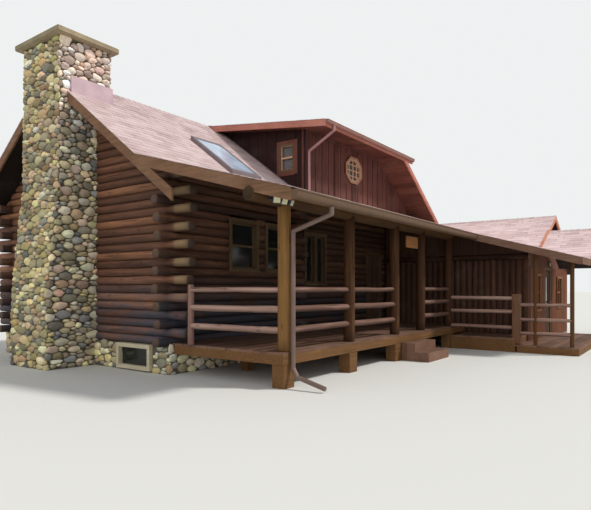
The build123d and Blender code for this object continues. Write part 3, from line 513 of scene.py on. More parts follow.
class Shape:
    """Points, faces and point attributes that grow into one mesh."""

    def __init__(self):
        self.points, self.faces, self.attributes = [], [], {}

    def add(self, points, faces, **attributes):
        start = len(self.points)
        self.points += [tuple(p) for p in points]
        self.faces += [tuple(start + k for k in face) for face in faces]
        for name, values in attributes.items():
            if not isinstance(values, list):
                values = [values] * len(points)
            self.attributes.setdefault(name, []).extend(values)

    def block(self, low, high, chamfer=0.004):
        """A block with its edges taken off, between two corners in the row's frame."""
        (x0, y0, z0), (x1, y1, z1) = low, high
        mesh = bmesh.new()
        bmesh.ops.create_cube(mesh, size=1.0)
        for vert in mesh.verts:
            x, y, z = vert.co
            vert.co = Vector((x1 if x > 0 else x0, y1 if y > 0 else y0, z1 if z > 0 else z0))
        c = min(chamfer, (x1 - x0) / 3, (y1 - y0) / 3, (z1 - z0) / 3)
        bmesh.ops.bevel(mesh, geom=mesh.edges[:], offset=c, segments=1, affect="EDGES")
        mesh.verts.index_update()
        self.add([v.co for v in mesh.verts], [[v.index for v in face.verts] for face in mesh.faces])
        mesh.free()

    def box(self, x, y, z, chamfer=0.004):
        """A block whose low and high x, y and z are given from the near log corner."""
        self.block(place(x[0], y[0], z[0]), place(x[1], y[1], z[1]), chamfer)

    def prism(self, points):
        """A block from the four points of its low face and the four of its high face."""
        self.add(points, [(3, 2, 1, 0), (4, 5, 6, 7), (0, 1, 5, 4), (1, 2, 6, 5), (2, 3, 7, 6), (3, 0, 4, 7)])

    def turned(self, start, end, profile, sides=16):
        """A turned shape between two points. profile gives (share of the length, radius) from one end."""
        run = end - start
        side = run.normalized().orthogonal().normalized()
        other = run.normalized().cross(side)
        points = [start + run * profile[0][0]]
        for share, radius in profile:
            for k in range(sides):
                turn = 2 * math.pi * k / sides
                out = side * (math.cos(turn) * radius) + other * (math.sin(turn) * radius)
                points.append(start + run * share + out)
        points.append(start + run * profile[-1][0])
        self.add(points, [face[::-1] for face in tube(len(profile), sides)])

    def build(self, name, material, smooth=False):
        mesh = bpy.data.meshes.new(name)
        mesh.from_pydata(self.points, [], self.faces)
        for key, values in self.attributes.items():
            if isinstance(values[0], (tuple, list)):
                kind, field = ("FLOAT_COLOR", "color") if len(values[0]) == 4 else ("FLOAT_VECTOR", "vector")
                layer = mesh.attributes.new(key, kind, "POINT")
                layer.data.foreach_set(field, [c for v in values for c in v])
            else:
                mesh.attributes.new(key, "FLOAT", "POINT").data.foreach_set("value", values)
        mesh.polygons.foreach_set("use_smooth", [smooth] * len(mesh.polygons))
        mesh.materials.append(material)
        mesh.update()
        return show(name, mesh)

    def settle(self, name, material, slot, *replaced, cuts=(), smooth=False, body="cabin"):
        """Builds the piece, cuts it by planes, attaches it to its body and hides the nodes it replaces."""
        piece = self.build(name, material, smooth)
        if cuts:
            trim(piece, *cuts)
        return settle(piece, slot, *replaced, body=body)


def blocks(name, material, slot, *rows, chamfer=0.004, cuts=()):
    """A piece of blocks, each given as its low and high x, y and z from the near log corner."""
    shape = Shape()
    for row in rows:
        shape.box(*row, chamfer)
    shape.settle(name, material, slot, cuts=cuts)


# Geometry Nodes

class NodeTree(Value):
    """A Geometry Nodes tree with named inputs."""

    def __init__(self, name, **inputs):
        tree = bpy.data.node_groups.new(name, "GeometryNodeTree")
        super().__init__(tree, None)
        tree.interface.new_socket("Geometry", in_out="OUTPUT", socket_type="NodeSocketGeometry")
        self.sockets = {}
        for key, kind in inputs.items():
            self.sockets[key] = tree.interface.new_socket(key, in_out="INPUT", socket_type="NodeSocket" + kind)
        self.entry = tree.nodes.new("NodeGroupInput")

    def input(self, key):
        return Value(self.tree, self.entry.outputs[key])

    def random(self, low, high, seed):
        return self.node("FunctionNodeRandomValue", {"data_type": "FLOAT"}, out=1, i2=low, i3=high, Seed=seed)

    def make(self, name, **values):
        """Runs the tree with its inputs set, and returns the result as a plain mesh object."""
        holder = show(name, bpy.data.meshes.new(name + "_seed"))
        modifier = holder.modifiers.new("tree", "NODES")
        modifier.node_group = self.tree
        for key, value in values.items():
            modifier[self.sockets[key].identifier] = value
        bpy.context.view_layer.update()
        graph = bpy.context.evaluated_depsgraph_get()
        result = bpy.data.meshes.new_from_object(holder.evaluated_get(graph), depsgraph=graph)
        holder.modifiers.remove(modifier)
        holder.data = result
        return holder


def shingle_tree():
    """Courses of shingle tabs on a flat field: X along the eave, Y up the slope, every other course
    set over by half a tab, each butt a little proud of the course below."""
    t = NodeTree("shingle_field", Columns="Int", Rows="Int", Tab="Float", Exposure="Float", Butt="Float",
                 Seed="Int", Finish="Material")
    columns, rows, seed = t.input("Columns"), t.input("Rows"), t.input("Seed")
    tab, exposure, butt = t.input("Tab"), t.input("Exposure"), t.input("Butt")
    high = (rows - 1) * exposure
    grid = t.node("GeometryNodeMeshGrid", i0=(columns - 1) * tab, i1=high, i2=columns, i3=rows)
    up = t.node("GeometryNodeInputPosition").part(1)
    odd = t.math("MODULO", t.math("ROUND", t.math("DIVIDE", up + high * 0.5, exposure)), 2.0)
    jitter = t.random(-0.006, 0.006, seed)
    rise = t.random(0.0, 0.0025, seed + 1)
    move = t.node("ShaderNodeCombineXYZ", i0=odd * tab * 0.5 + jitter, i1=jitter * 0.5, i2=rise)
    grid = t.node("GeometryNodeSetPosition", Geometry=grid, Offset=move)
    size = t.node("ShaderNodeCombineXYZ", i0=tab - 0.003, i1=exposure * 1.25, i2=butt)
    block = t.node("GeometryNodeMeshCube", Size=size)
    tilt = t.math("ARCTAN2", butt, exposure) * -1.0
    turn = t.node("ShaderNodeCombineXYZ", i0=tilt, i1=0.0, i2=jitter * 0.6)
    tabs = t.node("GeometryNodeInstanceOnPoints", Points=grid, Instance=block, Rotation=turn)
    kind = {"data_type": "FLOAT", "domain": "INSTANCE"}
    tabs = t.node("GeometryNodeStoreNamedAttribute", kind, Geometry=tabs, Name="tone",
                  Value=t.random(0.0, 1.0, seed + 2))
    tabs = t.node("GeometryNodeRealizeInstances", i0=tabs)
    tabs = t.node("GeometryNodeSetMaterial", Geometry=tabs, Material=t.input("Finish"))
    t.tree.links.new(tabs.socket, t.tree.nodes.new("NodeGroupOutput").inputs[0])
    return t


SHINGLES = shingle_tree()


# Roof planes

def plane(x0, y0, z0, rise_x, rise_y):
    """A roof's height over any x and y, from one of its points and its rise along each."""
    return lambda x, y: z0 + rise_x * (x - x0) + rise_y * (y - y0)


main_front = plane(0, BREAK_Y, BREAK_Z, 0, MAIN_PITCH)
main_back = plane(0, RIDGE_Y, RIDGE_Z, 0, -MAIN_PITCH)
porch_slope = plane(0, BREAK_Y, BREAK_Z, 0, PORCH_PITCH)
dormer_slope = plane(0, DORMER_EAVE_Y, DORMER_EAVE_Z, 0, DORMER_PITCH)
end_slope = plane(END_X, 0, END_Z, -END_PITCH, 0)
wing_left = plane(WING_RIDGE_X, 0, WING_RIDGE_Z, WING_PITCH, 0)
wing_right = plane(WING_RIDGE_X, 0, WING_RIDGE_Z, -WING_PITCH, 0)
canopy_right = plane(CANOPY_RIDGE, 0, wing_left(CANOPY_RIDGE, 0), -WING_PITCH, 0)


def under(slope, depth=ROOF, up=1):
    """The plane below a roof, for trim: a point on it and the direction that goes away."""
    a, b, c = (place(x, y, slope(x, y) - depth) for x, y in ((0, 0), (1, 0), (0, 1)))
    return a, (b - a).cross(c - a).normalized() * up


# Logs

LOG_EASE = 0.012  # the rounding of a sawn end
WALL_LOG = {"square": 2.8, "wobble": 0.07, "lap": 0.005}
UPRIGHT = {"flat_up": Vector((0, 1, 0))}


def peeled_log(shape, start, end, wide, high, seed, square=2.0, wobble=0.05, sides=14, lap=0.0,
               flat_up=Vector((0, 0, 1)), tone=None):
    """One log between two points: half its width and height, how square its section is, and how
    much it wanders. Its ends are sawn, with the edge rounded off."""
    ahead = (end - start).normalized()
    up = (flat_up - ahead * flat_up.dot(ahead)).normalized()
    across = ahead.cross(up)
    length = (end - start).length
    count = max(3, int(length / 0.22))
    rng = random.Random(seed)
    shift = Vector([rng.uniform(0, 90) for _ in range(3)])
    tone = rng.random() if tone is None else tone
    belts = [(0.0, 0.86), (LOG_EASE, 1.0)] + [(length * k / count, 1.0) for k in range(1, count)]
    belts += [(length - LOG_EASE, 1.0), (length, 0.86)]
    points, grain, sawn, ring = [start], [tuple(shift)], [1.0], [0.0]
    for along, share in belts:
        drift_x = noise.noise(shift + Vector((along * 0.8, 0, 0)))
        drift_z = noise.noise(shift + Vector((0, along * 0.8, 5)))
        for k in range(sides):
            turn = 2 * math.pi * k / sides
            c, s = math.cos(turn), math.sin(turn)
            bulge = 1 + wobble * noise.noise(shift + Vector((along * 1.7, c * 1.3, s * 1.3)))
            px = math.copysign(abs(c) ** (2 / square), c) * wide * bulge * share
            pz = math.copysign(abs(s) ** (2 / square), s) * (high + lap) * bulge * share
            points.append(start + ahead * along + across * (px + drift_x * wide * wobble)
                          + up * (pz + drift_z * high * wobble))
            grain.append(tuple(Vector((along, c * wide, s * wide)) + shift))
            sawn.append(0.75 if share < 1 else 0.0)
            ring.append(wide * share)
    points.append(start + ahead * length)
    grain.append(tuple(Vector((length * 0.1, 0, 0)) + shift))
    sawn.append(1.0)
    ring.append(0.0)
    shape.add(points, tube(len(belts), sides), grain=grain, tone=tone, sawn=sawn, ring=ring)


def round_log(shape, start, end, radius, seed, **style):
    peeled_log(shape, place(*start), place(*end), radius, radius, seed, **style)


def spans_around(start, end, holes, low, high, least, overlap):
    """Parts of a strip, longer than least, that holes leave where they overlap it by more than overlap.

    A hole is (start, end, low, high).
    """
    spans = [(start, end)]
    for a, b, z0, z1 in holes:
        if min(z1, high) - max(z0, low) > overlap:
            spans = [part for s, e in spans for part in ((s, min(e, a)), (max(s, b), e))
                     if part[1] - part[0] > least]
    return spans


def wall_logs(shape, course, line, low, high, along_x, holes, seed):
    """One course of a wall, in as many lengths as the window and door holes leave."""
    base = FOUNDATION_TOP + COURSE * course
    z = base + COURSE / 2
    for index, span in enumerate(spans_around(low, high, holes, base, base + COURSE, 0.05, 0.05)):
        ends = [place(s, line, z) if along_x else place(line, s, z) for s in span]
        peeled_log(shape, *ends, WALL / 2, COURSE / 2, seed + 7 * course + index, **WALL_LOG)


def reach(end, course):
    return end + LOG_END_STEPS[course % 5]


def cross_end(course):
    return CROSS_WALL_END + (HIGH_LOG_EXTRA if course > HIGH_LOGS else 0)


def long_wall(line, holes, right_ends, seed):
    """The front or the back wall: its even courses run through the corners."""
    shape = Shape()
    for k in range(COURSES):
        low, high = BUTT, LENGTH - BUTT
        if k % 2 == 0:
            low, high = -reach(LONG_WALL_END, k), LENGTH + (reach(LONG_WALL_END, k + 2) if right_ends else 0)
        wall_logs(shape, k, line, low, high, True, holes, seed)
    return shape


BACK_CUTS = under(main_back, WALL_GAP), under(end_slope, WALL_GAP)
long_wall(WALL / 2, WINDOWS + (DOORWAY,), False, 100).settle(
    "front_logs", LOG_WALLS, "log_wood", "front_log_wall", "front_wall_over_door", smooth=True)
blocks("front_plate", DORMER_BOARDS, "dormer_boards", ((0.2, 4.1), (0.03, 0.17), (3.54, 3.62)))
long_wall(DEPTH - WALL / 2, BACK_WINDOWS, True, 400).settle(
    "back_logs", LOG_WALLS, "log_wood", "back_log_wall", cuts=BACK_CUTS, smooth=True)

STACK_HOLE = ((STACK[2] + 0.05, STACK[3] - 0.05, 0, 9),)
shape = Shape()
for k in range(COURSES):
    low, high = BUTT, DEPTH - BUTT
    if k % 2:
        low, high = -reach(cross_end(k), k + 1), DEPTH + reach(cross_end(k), k + 3)
    wall_logs(shape, k, WALL / 2, low, high, False, STACK_HOLE, 700)
low_gable = trim(shape.build("gable_logs", LOG_WALLS, smooth=True), under(porch_slope, WALL_GAP),
                 under(main_back, WALL_GAP))
shape = Shape()
for k in range(COURSES, COURSES + 14):
    inset = max(0.02, (FOUNDATION_TOP + COURSE * k + ROOF - BREAK_Z) / MAIN_PITCH + BREAK_Y)
    wall_logs(shape, k, WALL / 2, inset, DEPTH - inset, False, STACK_HOLE, 900)
high_gable = trim(shape.build("gable_high", LOG_WALLS, smooth=True), under(main_front, WALL_GAP),
                  under(main_back, WALL_GAP))
settle(join("gable_logs", [low_gable, high_gable]), "log_wood", "gable_log_wall")

shape = Shape()
for k in range(COURSES + 2):
    through = k % 2 and k < COURSES
    low, high = (0.0, DEPTH + reach(cross_end(k), k + 3)) if through else (BUTT, DEPTH - BUTT)
    wall_logs(shape, k, LENGTH - WALL / 2, low, high, False, (), 1200)
shape.settle("right_logs", LOG_WALLS, "log_wood", "right_log_wall", cuts=BACK_CUTS, smooth=True)

CROSSING_X = 3.6
shape = Shape()
for k in range(1, 19, 2):
    z = FOUNDATION_TOP + COURSE * (k + 0.5)
    tip, root = place(CROSSING_X, -reach(0.33, k), z), place(CROSSING_X, 0.05, z)
    peeled_log(shape, tip, root, WALL / 2, COURSE / 2, 1500 + k, **WALL_LOG)
shape.settle("crossing_ends", LOG_WALLS, "log_wood", "crossing_log_ends", smooth=True)

UPRIGHTS, UPRIGHT_X, UPRIGHT_RUN = 25, 8.125, 3.94
shape = Shape()
for k in range(UPRIGHTS):
    y = WING_Y0 + UPRIGHT_RUN * (k + 0.5) / UPRIGHTS
    peeled_log(shape, place(UPRIGHT_X, y, 0.1), place(UPRIGHT_X, y, 2.23), UPRIGHT_RUN / UPRIGHTS / 2, 0.085,
               1600 + k, square=2.2, wobble=0.08, flat_up=Vector((1, 0, 0)))
round_log(shape, (8.13, -4.005, 2.29), (8.13, -0.06, 2.29), 0.092, 1690, wobble=0.04)
shape.settle("wing_uprights", WING_LOGS, "log_wood", smooth=True)


# Porch and walkway

POSTS = (0.21, 2.13, 3.97, 5.32, 7.05)
# Painted light: the near post lighter, as sunlit, the others darker, as shaded
POST_PAINTED_LIGHT = (0.95, -0.3, -0.4, -0.7, -0.7)
POST_Y, POST_FOOT = -2.32, 0.545
shape = Shape()
for k, (x, tone) in enumerate(zip(POSTS, POST_PAINTED_LIGHT)):
    round_log(shape, (x, POST_Y, POST_FOOT), (x, POST_Y, 2.8), 0.1, 1700 + k, sides=18, tone=tone, **UPRIGHT)
shape.settle("peeled_posts", PORCH_LOGS, "post_wood", "porch_posts", smooth=True)
blocks("porch_door_sill", DECK, "deck_boards", ((7.055, 7.945), (0.002, 0.198), (0.495, 0.553)))
SMALL_POST = (0.03, -0.49)
shape = Shape()
round_log(shape, (*SMALL_POST, POST_FOOT), (*SMALL_POST, 1.56), 0.048, 1710, square=3.0, tone=0.3, **UPRIGHT)
shape.settle("small_post", RAIL_LOGS, "post_wood", smooth=True)
shape = Shape()
round_log(shape, (-0.62, POST_Y, 2.815), (7.17, POST_Y, 2.815), 0.105, 1720, sides=18, tone=0.1)
shape.settle("peeled_beam", PORCH_LOGS, "post_wood", "porch_beam", smooth=True)
RAIL = {"wobble": 0.2, "sides": 12}
shape = Shape()
for level, (z, r) in enumerate(((1.47, 0.043), (1.17, 0.053), (0.86, 0.053))):
    # Painted light: the front rails darker, as shaded by the porch roof, the side rails lighter, as lit
    for k, (a, b) in enumerate(((0, 1), (1, 2), (3, 4))):
        round_log(shape, (POSTS[a], POST_Y, z), (POSTS[b], POST_Y, z), r, 1730 + 10 * level + k,
                  tone=-0.3, **RAIL)
    round_log(shape, (*SMALL_POST, z), (POSTS[0], POST_Y, z), r, 1738 + 10 * level, tone=0.9, **RAIL)
shape.settle("peeled_rails", RAIL_LOGS, "rail_wood", "porch_rails", smooth=True)
shape = Shape()
for level, (high, low) in enumerate(((1.26, 1.11), (0.94, 0.77), (0.573, 0.45))):
    for k, (a, b, z, r) in enumerate(((POST_Y, -4.01, high, 0.045), (-4.01, -4.39, low, 0.041),
                                      (-4.39, -5.15, low, 0.041))):
        round_log(shape, (POSTS[4], a, z), (POSTS[4], b, z), r, 1770 + 5 * level + k, **RAIL)
shape.settle("walkway_logs", RAIL_LOGS, "rail_wood", "walkway_rails", smooth=True)
blocks("walkway_newel", NEWEL_WOOD, "post_wood", ((6.962, 7.138), (-4.062, -3.89), (0.2, 1.362)), chamfer=0.008)

low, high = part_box("porch_deck")
DECK_BOARDS, HALF_GAP = 17, 0.003
pitch = (high.y - low.y) / DECK_BOARDS
shape = Shape()
for k in range(DECK_BOARDS):
    y0, y1 = low.y + pitch * k + HALF_GAP, low.y + pitch * (k + 1) - HALF_GAP
    shape.prism([Vector((x, y, z)) for z in (low.z, high.z)
                 for x, y in ((low.x, y0), (high.x, y0), (high.x, y1), (low.x, y1))])
shape.settle("deck_boards", DECK, "deck_boards", "porch_deck")


# Stonework

STONE_COLOURS = ((200, 180, 128), (186, 170, 126), (212, 198, 152), (164, 156, 134), (146, 146, 142),
                 (192, 160, 134), (204, 176, 148), (128, 130, 132), (184, 146, 114), (220, 206, 174),
                 (182, 164, 110), (158, 150, 120), (172, 160, 132), (196, 178, 136))
# Lighter, pinker colours for the stones at the top of the stack's front: painted sunlight
SUNLIT_STONES_PAINTED = ((216, 178, 156), (224, 194, 172), (196, 162, 148), (232, 212, 194), (172, 154, 142),
               (204, 166, 140))
# Least and largest radius, and tries per square metre
STONE_SIZES = ((0.1, 0.145, 40), (0.072, 0.1, 120), (0.05, 0.066, 240), (0.036, 0.045, 130))
STONE_BELTS = ((0.95, -0.35), (1.0, 0.3), (0.92, 0.72), (0.62, 0.94))  # share of the reach, rise
STONE_FLAT = 1.6  # how much longer than high the stones are
BED, HALF_JOINT = 0.05, 0.003
CELL = 0.4  # of the grid in which neighbours are looked up
NEAR = 0.5  # stones farther apart don't meet
STONE_ANGLE = 26  # faces that meet at less are shaded as one


def cell(s, z):
    return math.floor(s / CELL), math.floor(z / CELL)


def neighbours(grid, s, z):
    gx, gz = cell(s, z)
    return [stone for dx in (-1, 0, 1) for dz in (-1, 0, 1) for stone in grid.get((gx + dx, gz + dz), [])]


def scatter_stones(width, height, seed, clear):
    """Centres and radii of stones on an unrolled wall, large ones first, small ones in the gaps."""
    rng = random.Random(seed)
    grid, stones = {}, []
    for low, high, tries in STONE_SIZES:
        for _ in range(int(width * height * tries)):
            r = rng.uniform(low, high)
            s, z = rng.uniform(0, width), rng.uniform(r * 0.55, height - r * 0.55)
            if not clear(s, z):
                continue
            near = neighbours(grid, s, z)
            if s < CELL or s > width - CELL:
                near += [(q + (width if s > width / 2 else -width), w, t) for q, w, t in stones
                         if abs(q - s) > width / 2]
            if all((s - q) ** 2 + ((z - w) * STONE_FLAT) ** 2 > (0.85 * (r + t)) ** 2 for q, w, t in near):
                grid.setdefault(cell(s, z), []).append((s, z, r))
                stones.append((s, z, r))
    return stones


def outline(stone, near, sides):
    """How far a stone reaches in each direction before it meets its neighbours, rounded off."""
    s, z, r = stone
    reaches = []
    for k in range(sides):
        turn = 2 * math.pi * k / sides
        c, d = math.cos(turn), math.sin(turn)
        far = r * (1.6 + 0.16 * math.sin(3 * turn + 40 * s))
        for q, w, t in near:
            gs, gz = q - s, (w - z) * STONE_FLAT
            gap = math.hypot(gs, gz)
            toward = (c * gs + d * gz) / gap
            if toward > 0.05:
                line = (gap * gap + r * r - t * t) / (2 * gap) - HALF_JOINT
                far = min(far, line / toward)
        reaches.append(max(far, r * 0.5))
    return [(reaches[k - 1] + 7 * reaches[k] + reaches[(k + 1) % sides]) / 9 for k in range(sides)]


def lay_stones(name, width, height, where, clear, seed, sides=12, proud=0.0, painted_sunlit=lambda s, z: False,
               bright=1.0):
    """Builds the stones. where(s, z, out) gives the place of a point of the unrolled wall."""
    stones = scatter_stones(width, height, seed, clear)
    rng = random.Random(seed + 1)
    shape = Shape()
    everyone = stones + [(s + width, z, r) for s, z, r in stones if s < NEAR]
    everyone += [(s - width, z, r) for s, z, r in stones if s > width - NEAR]
    grid = {}
    for stone in everyone:
        grid.setdefault(cell(*stone[:2]), []).append(stone)
    for stone in stones:
        s, z, r = stone
        near = [o for o in neighbours(grid, s, z) if o != stone and math.hypot(o[0] - s, o[1] - z) < NEAR]
        reaches = outline(stone, near, sides)
        top = proud - rng.uniform(0.0, 0.4) * r * 0.5
        bulge = min(BED + top, 0.024 + r * 0.55)
        lean = (rng.uniform(-0.25, 0.25), rng.uniform(-0.25, 0.25))
        bumps = [rng.uniform(0.84, 1.08) for _ in range(sides)]
        light = rng.uniform(0.86, 1.4) * bright
        # Some stones take the lighter, pinker colours of painted sunlight
        colour = rng.choice(SUNLIT_STONES_PAINTED if painted_sunlit(s, z) else STONE_COLOURS)
        grey = sum(colour) / 3
        hue = paint(*[min(250, (c + (grey - c) * rng.uniform(0.15, 0.55)) * light) for c in colour])
        tone = rng.random()
        points = []
        for share, rise in STONE_BELTS:
            for k, far in enumerate(reaches):
                far *= bumps[k]
                turn = 2 * math.pi * k / sides
                ds, dz = math.cos(turn) * far * share, math.sin(turn) * far * share / STONE_FLAT
                out = top - bulge * (1 - rise) + (lean[0] * ds + lean[1] * dz) * max(rise, 0) * 0.8
                out -= rng.uniform(0, 0.2) * bulge
                points.append(where(s + ds, z + dz, min(out, proud)))
        points.append(where(s, z, top))
        faces = []
        last = (len(STONE_BELTS) - 1) * sides
        for base in range(0, last, sides):
            for k in range(sides):
                a, b = base + k, base + (k + 1) % sides
                faces.append((a, b, b + sides, a + sides))
        faces += [(last + k, last + (k + 1) % sides, last + sides) for k in range(sides)]
        faces.append(tuple(range(sides - 1, -1, -1)))
        shape.add(points, faces, tone=tone, hue=hue)
    settle(smooth_by_angle(shape.build(name, STONE), STONE_ANGLE), "cobbles")


def around(x0, x1, y0, y1, radius, lean=None):
    """The unrolled sides of a block, from the right front corner round by the left: (width, where).

    Its upright edges are rounded. lean(z) gives the left side's x where that isn't upright.
    """
    a, b = x1 - x0, y1 - y0

    def where(s, z, out):
        left = lean(z) if lean else x0
        s = s % (2 * (a + b))
        if s < a:
            spot, normal = Vector((x1 - (x1 - left) * s / a, y0, z)), Vector((0, -1, 0))
        elif s < a + b:
            spot, normal = Vector((left, y0 + s - a, z)), Vector((-1, 0, 0))
        elif s < 2 * a + b:
            spot, normal = Vector((left + (x1 - left) * (s - a - b) / a, y1, z)), Vector((0, 1, 0))
        else:
            spot, normal = Vector((x1, y1 - (s - 2 * a - b), z)), Vector((1, 0, 0))
        for cx, sx in ((left + radius, -1), (x1 - radius, 1)):
            for cy, sy in ((y0 + radius, -1), (y1 - radius, 1)):
                if (spot.x - cx) * sx > 0 and (spot.y - cy) * sy > 0:
                    normal = Vector((spot.x - cx, spot.y - cy, 0)).normalized()
                    spot = Vector((cx, cy, z)) + normal * radius
        spot = place(*spot) + normal * out
        spot.x = max(spot.x, CAD_BOX[0][0] + 0.001)
        spot.z = max(spot.z, 0.002)
        return spot

    return 2 * (a + b), where


def copy_of(name, node, material):
    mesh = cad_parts[node].data.copy()
    mesh.materials.clear()
    mesh.materials.append(material)
    return show(name, mesh)


def near_value(a, b):
    return abs(a - b) < 0.002


def core(name, node, inset, x0, x1, y0, y1, lean=None):
    """A copy of a node in mortar. Its four sides are drawn in, to leave room for stones."""
    made = copy_of(name, node, MORTAR)
    for vert in made.data.vertices:
        x, y, z = vert.co.x + OX, vert.co.y + OY, vert.co.z
        dx = near_value(x, lean(z) if lean else x0) - near_value(x, x1)
        dy = near_value(y, y0) - near_value(y, y1)
        vert.co += Vector((dx, dy, 0)) * inset
    made.data.update()
    settle(made, "cobbles", node)


STACK_LINE = ((0.0, -1.03), (1.3, -1.02), (2.2, -0.94), (3.4, -0.80), (6.205, -0.77))  # z, x


def stack_left(z):
    z = min(max(z, 0.0), STACK_LINE[-1][0])
    for (z0, x0), (z1, x1) in zip(STACK_LINE, STACK_LINE[1:]):
        if z <= z1:
            return x0 + (x1 - x0) * (z - z0) / (z1 - z0)


stack_width, stack_where = around(-0.9, *STACK[1:], 0.07, stack_left)


def stack_clear(s, z):
    """Stones only where the stack shows: outside the gable, or above the roof."""
    spot = stack_where(s, z, 0)
    x, y = spot.x + OX, spot.y + OY
    return x < 0.06 or z > min(main_front(x, y), main_back(x, y)) - 0.05


# The stones at the top of the stack's front take the colours of painted sunlight
lay_stones("stack_stones", stack_width, 6.2, stack_where, stack_clear, 11, proud=0.02,
           painted_sunlit=lambda s, z: z > 4.5 and (s < 1.3 or s > stack_width - 0.2))
core("stack_core", "chimney_stack", 0.05, *STACK, stack_left)

BASE = (-0.06, LENGTH + 0.06, -0.06, DEPTH + 0.06)
base_width, base_where = around(*BASE, 0.05)


def base_clear(s, z):
    """Stones only where the foundation shows: not behind the window, the stack or the wing."""
    spot = base_where(s, z, 0)
    x, y = spot.x + OX, spot.y + OY
    window = x < 0 and 0.36 < y < 1.47
    stack = x < 0.3 and STACK[2] - 0.05 < y < STACK[3] + 0.05
    wing = x > 10 and y < 1.2
    return not (window or stack or wing)


lay_stones("base_stones", base_width, 0.49, base_where, base_clear, 21, sides=9, bright=1.15)
core("base_core", "foundation", 0.045, *BASE)

# Chimney cap: cast, with soft worn edges

cap = copy_of("cast_cap", "chimney_cap", CAP_CONCRETE)
with editing(cap) as mesh:
    bmesh.ops.remove_doubles(mesh, verts=mesh.verts[:], dist=1e-4)
    bmesh.ops.dissolve_limit(mesh, angle_limit=0.02, verts=mesh.verts[:], edges=mesh.edges[:])
    bmesh.ops.bevel(mesh, geom=[e for e in mesh.edges if e.calc_face_angle(0) > 0.5], offset=0.016, segments=2,
                    affect="EDGES")
settle(cap, "concrete", "chimney_cap")


# Roof covering

HIP_X = END_X - (RIDGE_Z - END_Z) / END_PITCH
HIP_BACK_Y = RIDGE_Y + (RIDGE_Z - end_slope(RIGHT_X, 0)) / MAIN_PITCH
WING_RAKE, WING_END, WING_REAR = -4.16, 13.75, 1.35
VALLEY_BACK = BREAK_Y - (BREAK_Z - WING_RIDGE_Z) / PORCH_PITCH
DORMER_LEFT, DORMER_WALL = 3.71, 4.1
EAVE_Y, EAVE_BACK_Y = -3.08, 6.27
TAB_THICK, TAB_LIFT = 0.0055, 0.006
CAP_REACH, CAP_THICK = 0.13, 0.010


def shingle_roof(name, plan, slope, seed, material):
    """Shingles over one flat roof. plan is its corners seen from above, slope gives its height there.

    The plan has no hollow corner, because each side cuts the field.
    """
    corners = [place(x, y, slope(x, y)) for x, y in plan]
    normal = Vector((0, 0, 0))
    for a, b in zip(corners, corners[1:] + corners[:1]):
        normal += a.cross(b)
    normal.normalize()
    if normal.z < 0:
        normal = -normal
        corners.reverse()
    up = Vector((-normal.x, -normal.y, 0)).normalized()
    up = (up - normal * up.dot(normal)).normalized()
    along = up.cross(normal).normalized()
    us = [c.dot(along) for c in corners]
    vs = [c.dot(up) for c in corners]
    columns = math.ceil((max(us) - min(us)) / TAB) + 2
    rows = math.ceil((max(vs) - min(vs)) / EXPOSURE) + 1
    field = SHINGLES.make(name, Columns=columns, Rows=rows, Tab=TAB, Exposure=EXPOSURE, Butt=TAB_THICK,
                          Seed=seed, Finish=material)
    middle = along * (max(us) + min(us)) / 2 + up * (min(vs) + (rows - 1) * EXPOSURE / 2) \
        + normal * (corners[0].dot(normal) + TAB_LIFT)
    turn = Matrix((along, up, normal)).transposed().to_4x4()
    field.data.transform(Matrix.Translation(middle) @ turn)
    cuts = []
    for a, b in zip(corners, corners[1:] + corners[:1]):
        side = (b - a).cross(Vector((0, 0, 1)))
        side.z = 0
        cuts.append((a, side.normalized()))
    return trim(field, *cuts)


def hip_x(y):
    return HIP_X + (RIGHT_X - HIP_X) * (y - RIDGE_Y) / (HIP_BACK_Y - RIDGE_Y)


def valley_x(y):
    return WING_RIDGE_X - (WING_RIDGE_Z - porch_slope(0, y)) / WING_PITCH


def rectangle(x0, x1, y0, y1):
    return [(x0, y0), (x1, y0), (x1, y1), (x0, y1)]


